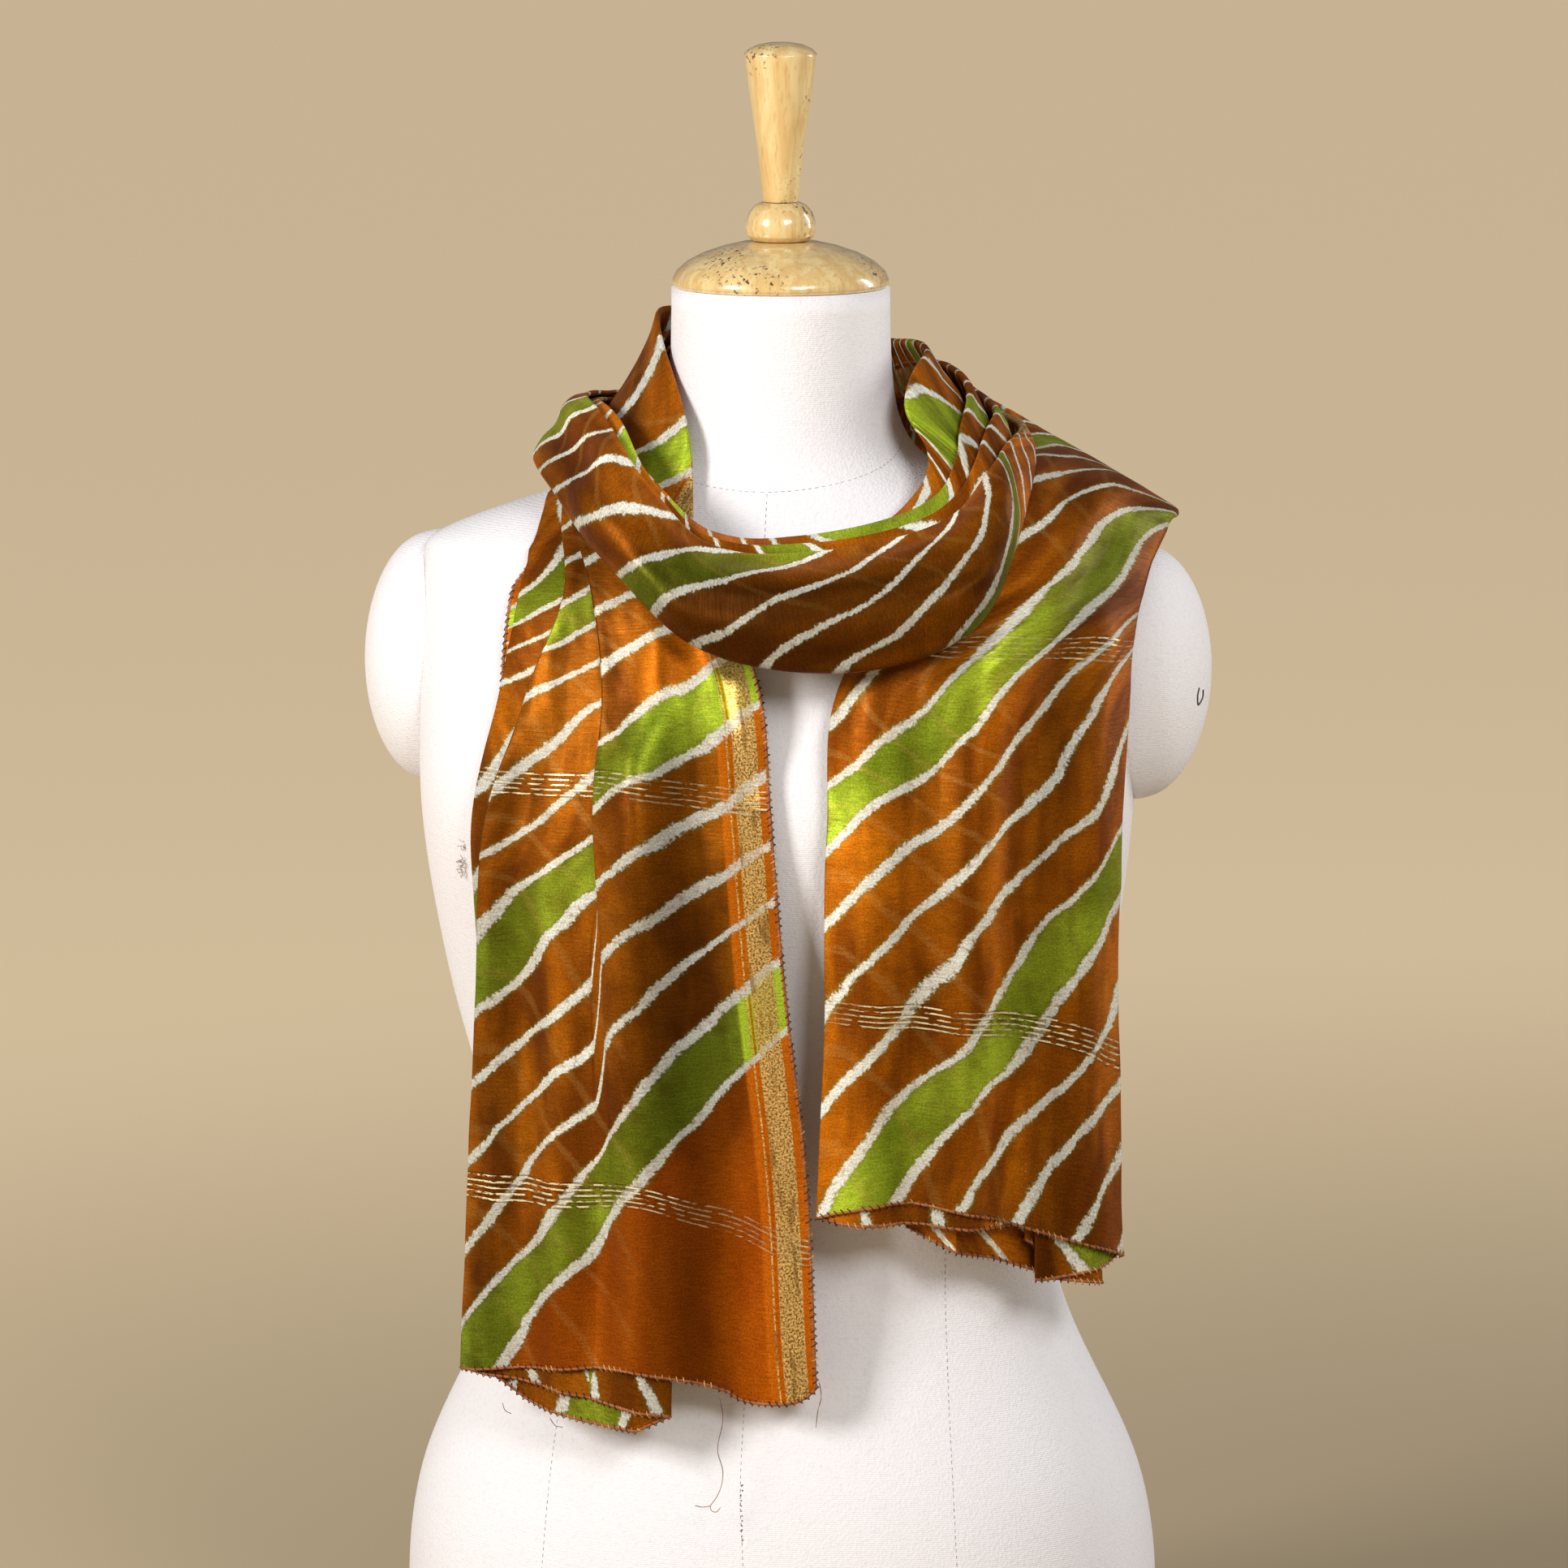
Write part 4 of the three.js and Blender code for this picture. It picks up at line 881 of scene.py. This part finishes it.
def coverMaterial():
    material, node, shader = newMaterial("cottonCanvasCover", formCover["roughness"], 1.5, 0.3)
    place = node("TexCoord", out="Object")
    cloud = node("TexNoise", {"Vector": place, "Scale": 9.0, "Detail": 3.0})
    dust = node("TexNoise", {"Vector": place, "Scale": 420.0, "Detail": 2.0})
    dust = node("MapRange", [dust, 0.5, 0.8, 0.0, 0.35])
    colour = linearColour(formCover["white"])
    for amount, over in ((cloud, "warm"), (dust, "shade")):
        colour = node("Mix", {0: amount, 6: colour, 7: linearColour(formCover[over])}, 2, data_type="RGBA")
    # a plain weave, threads 0.5 mm apart drawn at 1 mm, under a grainy size that gives it a leathery look
    grain = node("TexVoronoi", {"Vector": place, "Scale": 700.0}, "Distance")
    weaveScale = 2 * math.pi / 20 / (formCover["threadPitch"] * mm)
    weave = node("TexWave", {"Vector": place, "Scale": weaveScale, "Distortion": 1.5}, "Fac",
                 bands_direction="Z")
    height = node("Math", [weave, 0.4, grain], operation="MULTIPLY_ADD")
    bump = node("Bump", {"Height": height, "Strength": 0.35, "Distance": 0.5 * mm})
    drive(shader, {"Base Color": colour, "Normal": bump})
    return material


def smoothFrom(nodeName, name, material, creased=False, narrow=1.0):
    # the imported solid's shape, merged, squared up and smoothed, with its flat ends kept where it is creased,
    # and drawn towards the middle where it must touch
    mesh = nodes[nodeName].data.copy()
    mesh.materials.clear()
    piece = linkPiece(name, mesh, material)
    activate(piece)
    bpy.ops.object.mode_set(mode="EDIT")
    bpy.ops.mesh.select_all(action="SELECT")
    bpy.ops.mesh.remove_doubles(threshold=0.02 * mm)
    bpy.ops.mesh.tris_convert_to_quads()
    bpy.ops.transform.resize(value=(narrow, 1, 1), center_override=(0, 0, 0))
    bpy.ops.mesh.select_all(action="DESELECT")
    bpy.ops.object.mode_set(mode="OBJECT")
    if creased:
        bottom, top = 0.1 * mm, torsoBox[1].z - 0.1 * mm
        for edge in mesh.edges:
            edge.select = all(not bottom <= mesh.vertices[v].co.z <= top for v in edge.vertices)
        bpy.ops.object.mode_set(mode="EDIT")
        bpy.ops.mesh.select_mode(type="EDGE")
        bpy.ops.transform.edge_crease(value=1.0)
        bpy.ops.object.mode_set(mode="OBJECT")
    applyModifier(piece, "SUBSURF", levels=2, render_levels=2)
    return finishPiece(piece, nodeName)


cover = coverMaterial()
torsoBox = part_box("form_torso")
torso = smoothFrom("form_torso", "form_cover", cover, creased=True)
caps = [smoothFrom("arm_cap_" + side, "arm_pad_" + side, cover, narrow=formCover["narrow"])
        for side in ("left", "right")]
print("form covered")

# ---- seams of the cover, a worn patch, a pin and loose ends of thread, in the form's own frame
seams = dict(
    centre=[(3.2, 625), (3.0, 600), (1.5, 500), (0, 350), (-2, 200), (-2.4, 130), (-1.6, 119), (-1.0, 1)],
    side=[(106, 1), (105, 60), (102, 110), (100, 138), (95, 195), (92, 249), (96, 310), (104, 370),
          (110, 430), (112, 480), (108, 530), (104, 575), (101, 606)],
    neckLow=625.7, neckRise=24.0, stitch=2.4, gap=0.9, thread=0.13, grey="#9A918C", dark="#4A423C",
    mended=(118, 146), mendStep=2.4, mendThread=0.34, mendColours=("#35302C", "#6E655C"))
looseEnds = dict(
    long=[(-10.4, -124, 192), (-8.7, -124, 183), (-11.2, -124, 165), (-8.7, -124, 155),
          (-11.6, -124, 143), (-15.1, -124, 138)],
    fork=[(-15.1, -124, 138), (-18.8, -124, 137.4), (-22.4, -124, 138)],
    hook=[(-15.1, -124, 138), (-14.3, -124, 135.7), (-11.9, -124, 135.2), (-10, -124, 137.5)],
    short=[(38.5, -124, 201), (39.6, -125, 194), (38, -124.5, 187.6), (36.9, -124, 178.8)],
    curlA=[(-49.2, -101, 623.8), (-50.6, -104.2, 621.2), (-46.3, -108, 615.8), (-43.2, -107.4, 615.1)],
    curlB=[(-44.8, -103.6, 619.6), (-42, -107.6, 614.3), (-38.5, -107.8, 612.1), (-35.6, -104.6, 613.6),
           (-35, -104.8, 616)],
    whiskerA=[(-121, -104, 181), (-119.5, -105, 177.5), (-116.5, -105, 176)],
    whiskerB=[(-96, -112, 176), (-93, -113, 172.6), (-89.5, -113, 172)])
looseThread = dict(radius=0.2, colour="#A8714A")
tuft = dict(top=(-142.5, -84, 457), bottom=(-144.5, -79.5, 436), hairs=34, radius=0.16, colour="#9C8474",
            pale="#CFC4B8")
pin = dict(height=527, inset=3.4, radius=0.5, colour="#17181A", worn="#2B2C2E",
           path=[(0, 0), (-0.6, -3.4), (-0.3, -8.4), (0.9, -6.0), (1.3, -1.6)])
outside = 300   # mm from the middle, well clear of the form: rays onto the cover start there


def smoothPath(rows, step):
    # a smooth curve through a few points, in even steps
    rows = np.array(rows, float)
    at = np.concatenate([[0], np.cumsum(np.linalg.norm(np.diff(rows, axis=0), axis=1))])
    want = np.linspace(0, at[-1], max(int(at[-1] / step), 3))
    return hermite(at, rows, slopesOf(at, rows, steady=False), want)


def ontoCover(tree, origins, aims):
    # where rays from outside meet the cover, a little proud of it
    found, proud = [], 0.05
    for origin, aim in zip(origins, aims):
        start = Vector([v * mm for v in origin])
        way = (Vector([v * mm for v in aim]) - start).normalized()
        hit, normal = tree.ray_cast(start, way)[:2]
        if hit is not None:
            found.append(np.array(hit + normal * proud * mm) / mm)
    return np.array(found)


def coverTree(piece):
    mesh = piece.data
    return BVHTree.FromPolygons([v.co for v in mesh.vertices], [p.vertices[:] for p in mesh.polygons])


def addThreads(name, paths, radius, sides, material):
    points, faces = tubeMesh(paths, [radius] * len(paths), sides)
    return finishPiece(meshFromArrays(name, points * mm, faces, material))


def sewSeams():
    tree = coverTree(torso)
    lines = []
    for rows in (seams["centre"], seams["side"], [(-x, z) for x, z in seams["side"]]):
        course = smoothPath([(x, 0, z) for x, z in rows], 2.0)
        lines.append(ontoCover(tree, course + [0, -outside, 0], course))
    turns = np.radians(np.arange(0, 361, 5))
    heights = seams["neckLow"] + seams["neckRise"] * (1 - np.cos(turns))
    ring = np.stack([outside * np.sin(turns), -outside * np.cos(turns), heights], -1)
    lines.append(ontoCover(tree, ring, ring * [0, 0, 1]))
    stitches = []
    for line in lines:
        path, at = resample(line, 0.4)
        pace = seams["stitch"] + seams["gap"]
        for start in np.arange(0, at[-1] - pace, pace):
            inside = (at >= start) & (at <= start + seams["stitch"])
            stitches.append(path[inside][::2])
    addThreads("cover_seams", stitches, seams["thread"], 4,
               plainThread("cottonSeamThread", seams["grey"], seams["dark"]))
    # the centre seam is mended low down with a darker, looser thread
    random = np.random.default_rng(4)
    mends = []
    seamX, seamZ = np.array(seams["centre"][::-1]).T
    for z in np.arange(*seams["mended"], seams["mendStep"]):
        middle = np.interp(z, seamZ, seamX)
        ends = [(middle + random.uniform(-0.7, 0.7), 0, z + up) for up in (0, random.uniform(0.3, 0.9))]
        course = smoothPath(ends, 0.4)
        mends.append(ontoCover(tree, course + [0, -outside, 0], course))
    addThreads("mended_seam", mends, seams["mendThread"], 5,
               plainThread("waxedMendingThread", *seams["mendColours"]))
    print("seams:", len(stitches), "stitches")


def addLooseEnds():
    paths = [smoothPath(rows, 0.8) for rows in looseEnds.values()]
    addThreads("loose_threads", paths, looseThread["radius"], 5,
               plainThread("looseSilkThread", looseThread["colour"], silkDye["brownDark"]))
    random = np.random.default_rng(7)
    top, bottom = np.array(tuft["top"]), np.array(tuft["bottom"])
    hairs = []
    for k in range(tuft["hairs"]):
        root = top + (bottom - top) * random.random() + random.normal(0, 0.5, 3)
        bend = np.array([random.uniform(-3.2, 0.4), random.uniform(-1.6, 0.2), random.uniform(-2.5, 2.5)])
        hairs.append(smoothPath([root, root + bend * 0.5 + random.normal(0, 0.5, 3), root + bend], 0.8))
    addThreads("frayed_canvas", hairs, tuft["radius"], 4,
               plainThread("frayedCanvasYarn", tuft["colour"], tuft["pale"]))
    # a black wire pin pushed into the arm pad
    tree = coverTree(caps[0])
    place = max(v.co.x for v in caps[0].data.vertices) / mm - pin["inset"]
    course = smoothPath([(place + x, 0, pin["height"] + z) for x, z in pin["path"]], 0.5)
    wire = ontoCover(tree, course + [0, -outside, 0], course)
    addThreads("wire_pin", [wire], pin["radius"], 8,
               plainThread("enamelledSteelWire", pin["colour"], pin["worn"]))


sewSeams()
addLooseEnds()

# ---- turned wood, clear varnished
wood = dict(light="#E2CA90", mid="#D4B072", dark="#AC8448", scuff="#5E4630", roughness=0.28, coat=0.7,
            coatRoughness=0.08)
handleProfile = [(8.6, 41.8), (9.2, 47), (10.4, 58), (12.5, 75.5), (15.4, 95), (17.4, 110.5), (18.0, 113.5),
                 (17.5, 114.3), (15.2, 116.4), (11, 118.3), (5.5, 119.3), (0.2, 119.5)]
beadProfile = [(13.6, 22.8), (16.4, 25.2), (17.3, 29), (16.9, 33), (15.2, 37.2), (12.6, 40.2),
               (9.8, 41.5), (0.2, 41.5)]
capProfile = [(51.8, 0.3), (53.3, 2.0), (53.2, 4.2), (51.0, 8.2), (45.8, 12.8), (38, 16.8), (28, 20.2),
              (19, 22.2), (15, 22.5), (0.2, 22.5)]


def woodMaterial():
    material, node, shader = newMaterial("varnishedTurnedWood", wood["roughness"], 1.5)
    shader.inputs["Coat Weight"].default_value = wood["coat"]
    shader.inputs["Coat Roughness"].default_value = wood["coatRoughness"]
    place = node("TexCoord", out="Object")
    upright = node("Mapping", {0: place, 3: (1.0, 1.0, 0.07)})   # grain runs up the piece
    rings = node("TexNoise", {"Vector": upright, "Scale": 170.0, "Detail": 4.0, "Distortion": 0.6})
    fine = node("TexNoise", {"Vector": upright, "Scale": 900.0, "Detail": 3.0})
    area = node("TexNoise", {"Vector": place, "Scale": 26.0, "Detail": 2.0})
    nick = node("TexNoise", {"Vector": place, "Scale": 420.0, "Detail": 3.0})
    colour = node("ValToRGB", [rings])
    for element, position, name in zip(colour.node.color_ramp.elements, (0.36, 0.62), ("light", "mid")):
        element.position = position
        element.color = linearColour(wood[name])
    streak = node("MapRange", [fine, 0.55, 0.72, 0.0, 0.5])
    area = node("MapRange", [area, 0.50, 0.58])
    nick = node("MapRange", [nick, 0.57, 0.64])
    scuff = node("Math", [area, nick], operation="MULTIPLY")
    for amount, over in ((streak, "dark"), (scuff, "scuff")):
        colour = node("Mix", {0: amount, 6: colour, 7: linearColour(wood[over])}, 2, data_type="RGBA")
    bump = node("Bump", {"Height": fine, "Strength": 0.15, "Distance": 0.2 * mm})
    drive(shader, {"Base Color": colour, "Normal": bump})
    return material


def turnWood(name, profile, nodeName, material):
    # a ring drawn up through the profile, as on a lathe
    bottom = torsoBox[1].z
    r0, z0 = profile[0]
    bpy.ops.object.select_all(action="DESELECT")
    bpy.ops.mesh.primitive_circle_add(vertices=72, radius=r0 * mm, fill_type="NGON",
                                      location=(0, 0, bottom + z0 * mm))
    piece = bpy.context.object
    piece.name = name
    bpy.ops.object.transform_apply(location=True, rotation=False, scale=False)
    bpy.ops.object.mode_set(mode="EDIT")
    bpy.ops.mesh.select_all(action="SELECT")
    for (r1, z1), (r2, z2) in zip(profile, profile[1:]):
        bpy.ops.mesh.extrude_region_move(TRANSFORM_OT_translate={"value": (0, 0, (z2 - z1) * mm)})
        k = r2 / r1
        bpy.ops.transform.resize(value=(k, k, 1), center_override=(0, 0, bottom + z2 * mm))
    bpy.ops.mesh.select_all(action="SELECT")
    bpy.ops.mesh.normals_make_consistent(inside=False)
    bpy.ops.object.mode_set(mode="OBJECT")
    piece.data.materials.append(material)
    applyModifier(piece, "BEVEL", width=0.35 * mm, segments=2, limit_method="ANGLE",
                  angle_limit=math.radians(35))
    return finishPiece(piece, nodeName, 50)


turned = woodMaterial()
turnWood("neck_plate_wood", capProfile, "neck_cap", turned)
turnWood("bead_wood", beadProfile, "finial_bead", turned)
turnWood("handle_wood", handleProfile, "finial_handle", turned)
print("wood turned")

# ---- floor, light and camera
studio = dict(
    floor="#8F7F66", glow="#DCC6A2", floorGlow=(0.10, 0.72), glowFrom=(0.2, 2.6), glowMiddle=(0.8, 0.1, 0.0),
    cameraTurn=9.0, cameraUp=8.5, distance=4.2, lens=195.65, target=(1.6, 0.0, 474.0),
    sky="#F1F1F4", skyStrength=0.20)


def buildFloor():
    bpy.ops.object.select_all(action="DESELECT")
    bpy.ops.mesh.primitive_plane_add(size=60, location=(0, 0, -0.0005))
    floor = bpy.context.object
    floor.name = "floor"
    material, node, shader = newMaterial("palePaper", 0.9, 1.5, 0.2)
    shader.inputs["Base Color"].default_value = linearColour(studio["floor"])
    shader.inputs["Emission Color"].default_value = linearColour(studio["glow"])
    # lit from far off, so that little of it comes back up at the form
    place = node("TexCoord", out="Object")
    away = node("VectorMath", [place, studio["glowMiddle"]], "Value", operation="DISTANCE")
    near, far = studio["glowFrom"]
    low, high = studio["floorGlow"]
    glow = node("MapRange", [away, near, far, low, high], interpolation_type="SMOOTHSTEP")
    drive(shader, {"Emission Strength": glow})
    floor.data.materials.append(material)


# name, place, size, power, what it is aimed at, colour
lights = [
    ("key", (-2.2, -2.3, 1.7), (0.9, 1.1), 100, (0, 0, 0.5), "#FFFDFB"),
    ("fill", (1.5, -2.7, 2.0), (0.8, 0.8), 46, (0, 0, 0.45), "#FFFFFF"),
    ("strip", (1.1, -1.2, 1.5), (0.25, 0.25), 4, (0, 0, 0.75), "#FFFFFF"),
    ("rim", (2.2, 1.2, 1.3), (0.32, 1.6), 24, (0, 0, 0.45), "#FFFFFF")]


def addArea(name, location, size, power, aim, colour):
    light = bpy.data.lights.new(name, "AREA")
    light.shape = "RECTANGLE"
    light.size, light.size_y = size
    light.energy = power
    light.color = linearColour(colour)[:3]
    lamp = bpy.data.objects.new(name, light)
    bpy.context.scene.collection.objects.link(lamp)
    lamp.location = location
    lamp.rotation_euler = (Vector(aim) - Vector(location)).to_track_quat("-Z", "Y").to_euler()


def buildStudio():
    buildFloor()
    world = bpy.data.worlds.new("studio")
    world.use_nodes = True
    background = world.node_tree.nodes["Background"]
    background.inputs["Color"].default_value = linearColour(studio["sky"])
    background.inputs["Strength"].default_value = studio["skyStrength"]
    bpy.context.scene.world = world
    for row in lights:
        addArea(*row)
    bpy.context.scene.view_settings.view_transform = "Standard"
    data = bpy.data.cameras.new("view")
    data.sensor_width, data.lens = 36.0, studio["lens"]
    camera = bpy.data.objects.new("view", data)
    bpy.context.scene.collection.objects.link(camera)
    up, turn = math.radians(studio["cameraUp"]), math.radians(studio["cameraTurn"])
    toCamera = Vector((math.sin(turn) * math.cos(up), -math.cos(turn) * math.cos(up), math.sin(up)))
    target = Vector(toForm(np.array(studio["target"])) * mm)
    camera.location = target + toCamera * studio["distance"]
    camera.rotation_euler = (-toCamera).to_track_quat("-Z", "Y").to_euler()
    bpy.context.scene.camera = camera


buildStudio()
print("studio ready")
